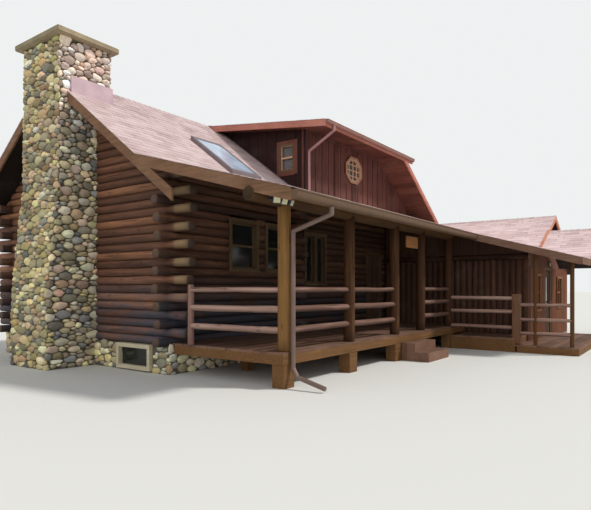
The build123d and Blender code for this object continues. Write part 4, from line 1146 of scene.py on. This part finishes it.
SKY_X0, SKY_X1, SKY_Y0, SKY_Y1 = 1.88, 2.8, 0.27, 1.5  # the skylight
ROOF_FIELDS = {
    "main_front": (main_front, [
        rectangle(RAKE_X, SKY_X0, BREAK_Y, STACK[2]), rectangle(SKY_X0, SKY_X1, BREAK_Y, SKY_Y0),
        rectangle(SKY_X0, SKY_X1, SKY_Y1, STACK[2]), rectangle(SKY_X1, DORMER_WALL, BREAK_Y, STACK[2]),
        rectangle(STACK[1], DORMER_WALL, STACK[2], RIDGE_Y)]),
    "main_back": (main_back, [
        [(STACK[1], RIDGE_Y), (HIP_X, RIDGE_Y), (hip_x(STACK[3]), STACK[3]), (STACK[1], STACK[3])],
        [(RAKE_X, STACK[3]), (hip_x(STACK[3]), STACK[3]), (RIGHT_X, HIP_BACK_Y), (RIGHT_X, EAVE_BACK_Y),
         (RAKE_X, EAVE_BACK_Y)]]),
    "dormer": (dormer_slope, [[(DORMER_LEFT, -0.8), (8.35, -0.8), (HIP_X, RIDGE_Y), (DORMER_LEFT, RIDGE_Y)]]),
    "end": (end_slope, [[(7.815, -0.78), (RIGHT_X, -0.78), (RIGHT_X, HIP_BACK_Y), (HIP_X, RIDGE_Y)]]),
    "porch": (porch_slope, [
        rectangle(RAKE_X, DORMER_WALL, EAVE_Y, BREAK_Y), rectangle(DORMER_WALL, CANOPY_LEFT, EAVE_Y, 0)]),
    "canopy": (porch_slope, [
        [(CANOPY_LEFT, CANOPY_FRONT), (valley_x(CANOPY_FRONT), CANOPY_FRONT), (WING_RIDGE_X, VALLEY_BACK),
         (WING_RIDGE_X, 0), (CANOPY_LEFT, 0)],
        rectangle(LENGTH, WING_RIDGE_X, 0, BREAK_Y)]),
    "wing_left": (wing_left, [
        [(valley_x(CANOPY_FRONT), CANOPY_FRONT), (CANOPY_RIDGE, CANOPY_FRONT), (CANOPY_RIDGE, WING_RAKE),
         (valley_x(WING_RAKE), WING_RAKE)],
        [(valley_x(WING_RAKE), WING_RAKE), (WING_RIDGE_X, WING_RAKE), (WING_RIDGE_X, VALLEY_BACK)],
        rectangle(LENGTH, WING_RIDGE_X, BREAK_Y, WING_REAR)]),
    "wing_right": (wing_right, [rectangle(WING_RIDGE_X, WING_END, WING_RAKE, WING_REAR)]),
    "canopy_side": (canopy_right, [rectangle(CANOPY_RIDGE, 11.36, CANOPY_FRONT, WING_RAKE)]),
}
for index, (name, (slope, plans)) in enumerate(ROOF_FIELDS.items()):
    # The wing's and canopy's roofs get the brighter felt, as painted sunlight
    felt = WING_SHINGLE_PAINTED_SUN if "wing" in name or "canopy" in name else SHINGLE
    fields = [shingle_roof(f"{name}_{k}", plan, slope, 30 + index, felt) for k, plan in enumerate(plans)]
    settle(join(name + "_shingles", fields), "shingles")


def down(slope, x, y):
    """The way down a roof, toward x and y as seen from above, one metre long."""
    return Vector((x, y, slope(x, y) - slope(0, 0))).normalized()


def ridge(name, slope, a, b, left, right, seed):
    """Folded caps lapped along a ridge or hip from a to b. left and right are the ways down each side."""
    rng = random.Random(seed)
    shape = Shape()
    start, end = place(*a, slope(*a)), place(*b, slope(*b))
    run = end - start
    count = int(run.length / EXPOSURE)
    for k in range(count):
        near = start + run * (k / count)
        far = near + run.normalized() * (EXPOSURE * 1.2)
        tone = rng.random()
        points = []
        for spot, high in ((near, 0.020), (far, 0.011)):
            for thick in (0, CAP_THICK):
                for side, far_out in ((left, CAP_REACH), (left, 0.0), (right, CAP_REACH)):
                    points.append(spot + side * far_out + Vector((0, 0, high - thick)))
        faces = [(0, 1, 7, 6), (1, 2, 8, 7), (3, 9, 10, 4), (4, 10, 11, 5), (0, 3, 4, 1), (1, 4, 5, 2),
                 (6, 7, 10, 9), (7, 8, 11, 10), (0, 6, 9, 3), (2, 5, 11, 8)]
        shape.add(points, faces, tone=tone)
    shape.settle(name, SHINGLE, "shingles")


back_way = down(main_back, 0, 1)
hip_way = Vector((RIGHT_X - HIP_X, HIP_BACK_Y - RIDGE_Y, 0)).normalized()
ridge("ridge_left", main_back, (STACK[1], RIDGE_Y), (3.7, RIDGE_Y), down(main_front, 0, -1), back_way, 61)
ridge("ridge_dormer", main_back, (3.7, RIDGE_Y), (HIP_X, RIDGE_Y), down(dormer_slope, 0, -1), back_way, 62)
ridge("hip_back", main_back, (RIGHT_X, HIP_BACK_Y), (HIP_X, RIDGE_Y), down(end_slope, hip_way.y, -hip_way.x),
      down(main_back, -hip_way.y, hip_way.x), 63)
ridge("ridge_wing", wing_left, (WING_RIDGE_X, WING_RAKE), (WING_RIDGE_X, WING_REAR),
      down(wing_left, -1, 0), down(wing_right, 1, 0), 64)
ridge("ridge_canopy", wing_left, (CANOPY_RIDGE, CANOPY_FRONT), (CANOPY_RIDGE, WING_RAKE),
      down(wing_left, -1, 0), down(canopy_right, 1, 0), 65)


def roof_strip(shape, slope, corners, low, high):
    """A flat strip that lies on a roof, from low to high over its plane."""
    shape.prism([place(x, y, slope(x, y) + out) for out in (low, high) for x, y in corners])


# Flashing: an apron under the chimney's and a strip along the dormer's foot, its dark colour partly painted
# shade. The wing's rake board stands out of the canopy roof as far as the valley.

blocks("flashing_apron", FLASHING, "flashing_metal", ((-0.545, 0.365), (2.112, 2.127), (5.10, 5.285)),
       chamfer=0.002, cuts=(under(main_front, -0.004, -1),))
shape = Shape()
run = (0.0, 0.5, 1.0, 1.5, 2.0, 2.66)
for a, b in zip(run, run[1:]):
    corners = ((4.02, a + 0.16), (4.11, a + 0.16), (4.11, b + 0.17), (4.02, b + 0.17))
    roof_strip(shape, main_front, corners, 0.004, 0.022)
shape.settle("dormer_flashing", FLASHING_PAINTED_SHADE, "flashing_metal")
shape = Shape()
roof_strip(shape, wing_left, rectangle(8.64, 9.66, -4.205, -4.14), 0.0, 0.036)
shape.settle("wing_rake_strip", WING_RAKE_WOOD, "barge_wood")

# Battens and trim of the dormer

OCTAGON_X, OCTAGON_Z = 6.29, 4.625
BATTEN, BATTEN_PITCH, HALF_BATTEN = 0.002, 0.29, 0.022
BATTEN_FOOT, BATTEN_HEAD = 3.4, 5.7


def battens(count, first, low, high):
    """Where battens stand along a wall, each with its low and high z.

    low and high are the corners of the wall's window, which parts the battens between them.
    """
    whole, parted = ((BATTEN_FOOT, BATTEN_HEAD),), ((BATTEN_FOOT, low[1]), (high[1], BATTEN_HEAD))
    return [((a - HALF_BATTEN, a + HALF_BATTEN), z) for a in (first + BATTEN_PITCH * k for k in range(count))
            for z in (parted if low[0] < a < high[0] else whole)]


blocks("dormer_battens", DORMER_BOARDS, "dormer_boards",
       *[(x, (-0.02, BATTEN), z)
         for x, z in battens(20, 4.22, (OCTAGON_X - 0.5, 4.21), (OCTAGON_X + 0.5, 5.04))],
       cuts=(under(dormer_slope), under(end_slope), under(porch_slope, 0.0, -1)))
blocks("side_battens", DORMER_SIDE_PAINTED_SHADE, "dormer_boards",
       *[((4.082, 4.102), y, z) for y, z in battens(10, 0.03, (0.2, 4.17), (0.9, 5.06))],
       cuts=(under(dormer_slope), under(main_front, 0.0, -1)))
blocks("eave_frieze", DORMER_BOARDS, "dormer_boards",
       ((DORMER_WALL, END_X + (END_Z - dormer_slope(0, 0)) / END_PITCH), (-0.03, BATTEN), (5.0, 5.4)),
       cuts=(under(dormer_slope), under(dormer_slope, ROOF + 0.07, -1)))


# Windows: rings, casings, sashes and bars

def octagon(shape, inner, outer, y0, y1):
    """A flat ring with eight sides round the dormer's window. inner and outer are half its width and height."""
    rings = []
    for a, b in (inner, outer):
        c, d = 0.42 * a, 0.42 * b
        rings.append([(-a, -d), (-a, d), (-c, b), (c, b), (a, d), (a, -d), (c, -b), (-c, -b)])
    for k in range(8):
        after = (k + 1) % 8
        corners = [rings[0][k], rings[0][after], rings[1][after], rings[1][k]]
        points = [place(OCTAGON_X + p, y, OCTAGON_Z + q) for y in (y0, y1) for p, q in corners]
        shape.add(points, [(0, 1, 2, 3), (7, 6, 5, 4), (0, 4, 5, 1), (1, 5, 6, 2), (2, 6, 7, 3), (3, 7, 4, 0)])


shape = Shape()
octagon(shape, (0.375, 0.295), (0.43, 0.35), -0.04, 0.0)
shape.settle("octagon_ring", RING_WOOD, "window_wood")
shape = Shape()
octagon(shape, (0.335, 0.255), (0.385, 0.305), -0.028, 0.03)
for x, low, high in ((-0.2, 4.33, 4.92), (0, 4.30, 4.95), (0.2, 4.33, 4.92)):
    shape.box((OCTAGON_X + x - 0.016, OCTAGON_X + x + 0.016), (0.0, 0.03), (low, high))
for z, low, high in ((-0.15, 5.91, 6.67), (0, 5.88, 6.70), (0.15, 5.91, 6.67)):
    shape.box((low, high), (-0.002, 0.028), (OCTAGON_Z + z - 0.015, OCTAGON_Z + z + 0.015))
shape.settle("octagon_lattice", TAN_TRIM, "window_wood")
blocks("side_window_trim", TRIM_WOOD, "window_wood", *[((4.072, 4.102), y, z) for y, z in (
    ((0.24, 0.33), (4.21, 5.03)), ((0.76, 0.85), (4.21, 5.03)), ((0.33, 0.76), (4.19, 4.29)),
    ((0.33, 0.76), (4.95, 5.03)))])
blocks("side_window_sash", TAN_TRIM, "window_wood", *[((4.078, 4.13), y, z) for y, z in (
    ((0.33, 0.385), (4.29, 4.95)), ((0.705, 0.76), (4.29, 4.95)), ((0.385, 0.705), (4.29, 4.345)),
    ((0.385, 0.705), (4.895, 4.95)), ((0.385, 0.705), (4.60, 4.64)))])


def casing(shape, x0, x1, z0, z1, y, width=0.05, thick=0.02):
    """Flat boards on the frame of an opening in a wall that runs along X, on the face at y."""
    x0, x1, z0, z1 = x0 + 0.038, x1 - 0.038, z0 + 0.038, z1 - 0.038
    shape.box((x0 - width, x0), (y - thick, y), (z0 - 0.004, z1 + 0.004))
    shape.box((x1, x1 + width), (y - thick, y), (z0 - 0.004, z1 + 0.004))
    shape.box((x0 - width - 0.02, x1 + width + 0.02), (y - thick - 0.006, y), (z1, z1 + width + 0.01))
    shape.box((x0 - width - 0.02, x1 + width + 0.02), (y - thick - 0.014, y), (z0 - width, z0))


def sash(shape, x0, x1, z0, z1, y, rail=True, bar=0.035):
    a, b, c, d = x0 + 0.06, x1 - 0.06, z0 + 0.06, z1 - 0.06
    for x, z in (((a, a + bar), (c, d)), ((b - bar, b), (c, d)), ((a, b), (c, c + bar)),
                 ((a, b), (d - bar, d))):
        shape.box(x, (y - 0.02, y + 0.012), z)
    if rail:
        middle = (c + d) / 2
        shape.box((a, b), (y - 0.026, y + 0.01), (middle - 0.022, middle + 0.022))


shape = Shape()
for k, (x0, x1, z0, z1) in enumerate(WINDOWS):
    casing(shape, x0, x1, z0, z1, -0.002)
    halves = ((x0, x1),) if k < 2 else ((x0, (x0 + x1) / 2 + 0.015), ((x0 + x1) / 2 - 0.015, x1))
    for a, b in halves:
        sash(shape, a, b, z0, z1, 0.085, rail=k < 2)
shape.settle("window_casings", WINDOW_WOOD, "window_wood")
shape = Shape()
for x0, x1, z0, z1 in BACK_WINDOWS:
    for a in (x0 - 0.07, x1):
        shape.box((a, a + 0.07), (DEPTH, DEPTH + 0.024), (z0, z1))
    for c in (z0 - 0.07, z1):
        shape.box((x0 - 0.09, x1 + 0.09), (DEPTH, DEPTH + 0.03), (c, c + 0.07))
shape.settle("back_casings", WINDOW_WOOD, "window_wood")
shape = Shape()
for window in WING_WINDOWS:
    casing(shape, *window, WING_Y0 - 0.02)
    sash(shape, *window, WING_Y0 + 0.03, bar=0.03)
shape.settle("wing_casings", WING_TRIM, "window_wood")

# Boards of the wing, side by side with a joint between them

BOARD_THICK, BOARD_WIDTH, HALF_SEAM = 0.014, 0.19, 0.004


def upright_boards(low, high, top, spot, holes=()):
    """spot(along, out, z) gives a point of the wall's face. A hole is (low z, high z, start, end)."""
    shape = Shape()
    count = round((high - low) / BOARD_WIDTH)
    pitch = (high - low) / count
    for k in range(count):
        a, b = low + pitch * k + HALF_SEAM, low + pitch * (k + 1) - HALF_SEAM
        for s, e in spans_around(0.1, top, holes, a, b, 0.03, 0.0):
            corners = [spot(a, 0.0, s), spot(b, BOARD_THICK, e)]
            shape.block(Vector(map(min, *corners)), Vector(map(max, *corners)))
    return shape


upright_boards(WING_X0, WING_X1 - 0.2, WING_TOP, lambda a, out, z: place(a, WING_Y0 - out, z),
               [(c + 0.02, d - 0.02, a + 0.02, b - 0.02) for a, b, c, d in WING_WINDOWS + (WING_DOORWAY,)]
               ).settle("wing_front_boards", WING_FRONT, "wing_boards")
upright_boards(WING_Y0, WING_Y1, 2.1, lambda a, out, z: place(WING_X1 + out, a, z)
               ).settle("wing_right_boards", WING_SIDE, "wing_boards", cuts=(under(wing_right),))
upright_boards(LENGTH + 0.06, WING_X1, 3.5, lambda a, out, z: place(a, WING_Y1 + out, z)
               ).settle("wing_back_boards", WING_FRONT, "wing_boards",
                        cuts=(under(wing_right), under(wing_left)))

# Doors: planks and a glazed light on their leaves, turned knobs

PLANKS, KNOB_ANGLE = 6, 40
KNOB = ((0.0, 0.027), (0.08, 0.026), (0.12, 0.012), (0.45, 0.011), (0.56, 0.019), (0.72, 0.027), (0.88, 0.024),
        (1.0, 0.010))


def door_planks(name, node, body, knobs, light=None):
    """light is the left, right, low and high edge of the door's glass, in the row's frame."""
    low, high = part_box(node)
    x0, x1, z0, z1 = low.x + 0.012, high.x - 0.012, low.z + 0.012, high.z - 0.012
    low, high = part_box(knobs)
    face = low.y + 0.07
    shape = Shape()
    pitch = (x1 - x0) / PLANKS
    for k in range(PLANKS):
        spans = ((z0, z1),)
        if light and light[0] < x0 + pitch * (k + 0.5) < light[1]:
            spans = ((z0, light[2]), (light[3], z1))
        for s, e in spans:
            shape.block(Vector((x0 + pitch * k + 0.003, face - 0.010, s)),
                        Vector((x0 + pitch * (k + 1) - 0.003, face + 0.002, e)))
    if light:
        a, b, c, d = light
        for left, right, foot, head in ((a - 0.03, a + 0.02, c, d), (b - 0.02, b + 0.03, c, d),
                                        (a, b, c - 0.03, c + 0.02), (a, b, d - 0.02, d + 0.03)):
            shape.block(Vector((left, face - 0.022, foot)), Vector((right, face, head)))
        glass = Shape()
        glass.block(Vector((a, face - 0.006, c)), Vector((b, face + 0.001, d)), 0.001)
        glass.settle(name + "_light", GLASS, "window_glass", body=body)
    shape.settle(name, DOOR_WOOD, "door_wood", body=body)
    x, z = (low.x + high.x) / 2, (low.z + high.z) / 2
    shape = Shape()
    for start, end in ((face, low.y), (high.y - 0.07, high.y)):
        shape.turned(Vector((x, start, z)), Vector((x, end, z)), KNOB)
    made = smooth_by_angle(shape.build(name + "_knobs", BRASS, smooth=True), KNOB_ANGLE)
    settle(made, "knob_brass", knobs, body=body)


door_planks("porch_door_planks", "porch_door", "porch_door_leaf", "porch_door_knobs")
low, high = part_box("wing_door")
door_planks("wing_door_planks", "wing_door", "wing_door_leaf", "wing_door_knobs",
            (low.x + 0.16, high.x - 0.16, 0.95, 1.82))

# Lamps: three square heads on a bracket by the corner post, and a lantern over the wing's door

HEADS = ((-0.22, -0.08), (-0.1, -0.02), (0.03, 0.03))  # x, and how far it turns aside
HOUSING = ((0.0, 0.02, 0.018), (0.35, 0.046, 0.038), (0.92, 0.058, 0.05), (1.0, 0.058, 0.05))
LENS_PLATE = ((0.94, 0.05, 0.042), (1.03, 0.048, 0.04))
shape, lenses = Shape(), Shape()
shape.box((-0.28, 0.1), (POST_Y - 0.13, POST_Y - 0.1), (2.75, 2.83))
shape.turned(place(-0.1, POST_Y - 0.13, 2.8), place(-0.1, POST_Y - 0.18, 2.8),
             ((0, 0.05), (0.8, 0.046), (1, 0.03)))
for x, dx in HEADS:
    back, front = place(x, POST_Y - 0.15, 2.785), place(x + dx, POST_Y - 0.26, 2.735)
    ahead = (front - back).normalized()
    side = Vector((0, 0, 1)).cross(ahead).normalized()
    up = ahead.cross(side)
    for target, stops in ((shape, HOUSING), (lenses, LENS_PLATE)):
        points = [back + (front - back) * share + side * wide * a + up * high * b for share, wide, high in stops
                  for a, b in ((-1, -1), (1, -1), (1, 1), (-1, 1))]
        last = len(points) - 4
        faces = [(3, 2, 1, 0), (last, last + 1, last + 2, last + 3)]
        faces += [(base + k, base + (k + 1) % 4, base + 4 + (k + 1) % 4, base + 4 + k)
                  for base in range(0, last, 4) for k in range(4)]
        target.add(points, faces)
lantern_x = (WING_DOORWAY[0] + WING_DOORWAY[1]) / 2
for half, y0, y1, z0, z1 in ((0.035, 0.025, 0, 2.115, 2.25), (0.04, 0.1, 0.02, 2.225, 2.245),
                             (0.03, 0.09, 0.03, 2.11, 2.122)):
    shape.box((lantern_x - half, lantern_x + half), (WING_Y0 - y0, WING_Y0 - y1), (z0, z1))
for dy in (-0.09, -0.035):
    for dx in (-0.03, 0.025):
        x, y = lantern_x + dx, WING_Y0 + dy
        shape.box((x, x + 0.005), (y, y + 0.005), (2.12, 2.23), 0.001)
lenses.turned(place(lantern_x, WING_Y0 - 0.0625, 2.122), place(lantern_x, WING_Y0 - 0.0625, 2.222),
              ((0, 0.02), (0.5, 0.023), (1, 0.018)))
shape.settle("lamp_bodies", LAMP, "lamp_plastic", "lamps")
lenses.settle("lamp_glasses", LENS, "lamp_plastic")

# Plaque: a bare board with a raised rim on two hooks

x0, x1, z0, z1 = 4.54, 5.14, 2.38, 2.63
RIM = 0.03
shape = Shape()
shape.box((x0 + 0.01, x1 - 0.01), (POST_Y - 0.010, POST_Y + 0.010), (z0 + 0.01, z1 - 0.01))
for x, z in (((x0, x1), (z0, z0 + RIM)), ((x0, x1), (z1 - RIM, z1)), ((x0, x0 + RIM), (z0 + RIM, z1 - RIM)),
             ((x1 - RIM, x1), (z0 + RIM, z1 - RIM))):
    shape.box(x, (POST_Y - 0.015, POST_Y + 0.015), z)
shape.settle("plaque_board", PLAQUE_WOOD, "plaque_wood", "plaque")
shape = Shape()
for x in (4.65, 5.03):
    shape.turned(place(x, POST_Y, 2.62), place(x, POST_Y, 2.72), ((0, 0.007), (1, 0.007)), sides=8)
shape.settle("plaque_hooks", DARK_METAL, None, smooth=True)

# Gutters

GUTTER_OUTSIDE = ((0, 0), (0, -1), (-0.46, -1), (-0.7, -0.92), (-0.84, -0.76), (-0.9, -0.52), (-0.91, -0.2),
                  (-1, -0.13), (-1, 0))
GUTTER_INSIDE = ((-0.95, 0), (-0.94, -0.08), (-0.87, -0.17), (-0.86, -0.5), (-0.8, -0.7), (-0.67, -0.85),
                 (-0.46, -0.94), (-0.05, -0.94), (-0.05, 0))
END_PLATE = 0.004


def gutter_run(shape, x0, x1, y, z, wide, high):
    """A moulded gutter, open above, with a folded lip and closed ends. y and z are its back top edge."""
    for run, start, end in ((GUTTER_OUTSIDE + GUTTER_INSIDE, x0 + END_PLATE, x1 - END_PLATE),
                            (GUTTER_OUTSIDE, x0, x0 + END_PLATE), (GUTTER_OUTSIDE, x1 - END_PLATE, x1)):
        n = len(run)
        points = [place(x, y + p * wide, z + q * high) for x in (start, end) for p, q in run]
        faces = [(k, n + k, n + (k + 1) % n, (k + 1) % n) for k in range(n)]
        shape.add(points, faces + [tuple(range(n)), tuple(range(2 * n - 1, n - 1, -1))])


low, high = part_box("gutters")
shape = Shape()
gutter_run(shape, -0.61, 6.75, -3.05, 2.79, 0.12, 0.13)
gutter_run(shape, 3.72, high.x + OX, -0.79, 5.215, 0.07, 0.085)
gutters = shape.build("moulded_gutters", GUTTER_METAL)
with editing(gutters) as mesh:
    bmesh.ops.recalc_face_normals(mesh, faces=mesh.faces)
settle(gutters, "gutter_metal", "gutters")

# Finishes of the frame's own pieces

coat(WINDOW_WOOD, "window_frames", "door_frames")
coat(GLASS, "window_glass")
# Pale blue: a painted reflection of the sky
coat(glass_finish("skylight_glass_painted_reflection", (204, 222, 246)), "skylight_glass")
coat(board_finish("cream_paint", (200, 190, 162), Y, 0.1, dark=0.86), "basement_frame")
coat(metal_finish("curb_paint", (126, 112, 116), 0.4), "skylight_curb")
coat(FLASHING, "chimney_flashing")
coat(board_finish("floor_stain", (150, 112, 78), X, 0.25, Y), "main_floor")
coat(cast_finish("slab_concrete", (150, 144, 130)), "wing_floor")
coat(DECK, "walkway_deck", "porch_steps")
coat(board_finish("deck_timber_stain", (113, 80, 48), X, 0.05), "deck_frame", "walkway_frame")
coat(board_finish("dormer_soffit_stain", (112, 68, 56), Y, 0.25, X, 0.2), "dormer_roof", "end_roof")
# Dark stained soffits, painted darker still as the shade under the roofs
coat(board_finish("soffit_stain", (34, 26, 22), Y, 0.25, X, 0.2), "main_roof_front", "main_roof_back",
     "porch_roof", "canopy_roof", "wing_roof_left", "wing_roof_right")
coat(board_finish("barge_boards_stain", (124, 92, 69), Y, 0.2), "barge_boards")
coat(board_finish("wing_barge_stain", (116, 86, 70), Y), "canopy_barge")
coat(board_finish("wing_fascia_stain", (116, 86, 70)), "canopy_fascia")
coat(WING_RAKE_WOOD, "wing_barge")
coat(board_finish("dormer_trim_stain", (186, 122, 106), X, 0.3), "dormer_fascia")
coat(DORMER_BOARDS, "dormer_front_wall")
coat(DORMER_SIDE_PAINTED_SHADE, "dormer_side_wall")
# The spouts are brighter above the porch roof, as painted sunlight
coat(metal_finish("spout_paint", (118, 96, 86), 0.4, high=(176, 132, 132)), "downspouts")
coat(board_finish("wing_corner_stain", (78, 52, 40), Z), "wing_side_wall")
coat(WING_FRONT, "wing_front_walls", "wing_back_wall")
coat(WING_SIDE, "wing_right_wall")
coat(board_finish("wing_gable_stain", (98, 51, 34), Z, 0.15, X, 0.19), "wing_gable")
coat(PORCH_LOGS, "walkway_posts")
coat(DOOR_WOOD, "porch_door", "wing_door")

# Floor, light and camera

bpy.ops.mesh.primitive_plane_add(size=400, location=(0, 0, 0))
floor = bpy.context.object
floor.name = "studio_floor"
floor.data.materials.append(Finish("studio_floor_paint").finish((222, 222, 218), 0.95))

world = bpy.data.worlds.new("studio")
bpy.context.scene.world = world
world.use_nodes = True
tree = world.node_tree
light = tree.nodes["Background"]
light.inputs["Color"].default_value = (0.93, 0.96, 1.0, 1.0)
light.inputs["Strength"].default_value = 0.5
w = Value(tree, None)
seen = w.node("ShaderNodeBackground", i0=(0.86, 0.88, 0.88, 1.0), i1=1.0)
path = tree.nodes.new("ShaderNodeLightPath")
camera_ray, glossy_ray = (Value(tree, path.outputs[f"Is {kind} Ray"]) for kind in ("Camera", "Glossy"))
mixed = w.node("ShaderNodeMixShader", i0=w.math("MAXIMUM", camera_ray, glossy_ray * 0.4),
               i1=Value(tree, light.outputs[0]), i2=seen)
tree.links.new(mixed.socket, tree.nodes["World Output"].inputs["Surface"])

SUNS = (("key", 2.4, 0.12, (-0.27, 0.42, -0.56)), ("fill", 0.9, 1.0, (0.85, 0.3, -0.22)))
for name, energy, angle, way in SUNS:
    lamp = bpy.data.lights.new(name, "SUN")
    lamp.energy = energy
    lamp.angle = angle
    lamp.color = (1.0, 0.97, 0.92)
    show(name, lamp).rotation_euler = Vector(way).to_track_quat("-Z", "Y").to_euler()

# The camera was fitted to the photo: its focal length and the horizon's row are in pixels
PHOTO_WIDTH, PHOTO_HEIGHT, FOCAL, HORIZON = 591, 510, 540.03, 288.05
EYE, YAW = (-6.26, -7.24, 1.5), math.radians(36.06)
lens = bpy.data.cameras.new("camera")
lens.sensor_width = 36.0
lens.lens = 36.0 * FOCAL / PHOTO_WIDTH
lens.shift_y = (HORIZON - PHOTO_HEIGHT / 2) / PHOTO_WIDTH
lens.clip_end = 600
camera = show("camera", lens)
camera.location = place(*EYE)
camera.rotation_euler = (math.radians(90), 0, YAW - math.radians(90))
bpy.context.scene.camera = camera
bpy.context.scene.view_settings.view_transform = "Standard"
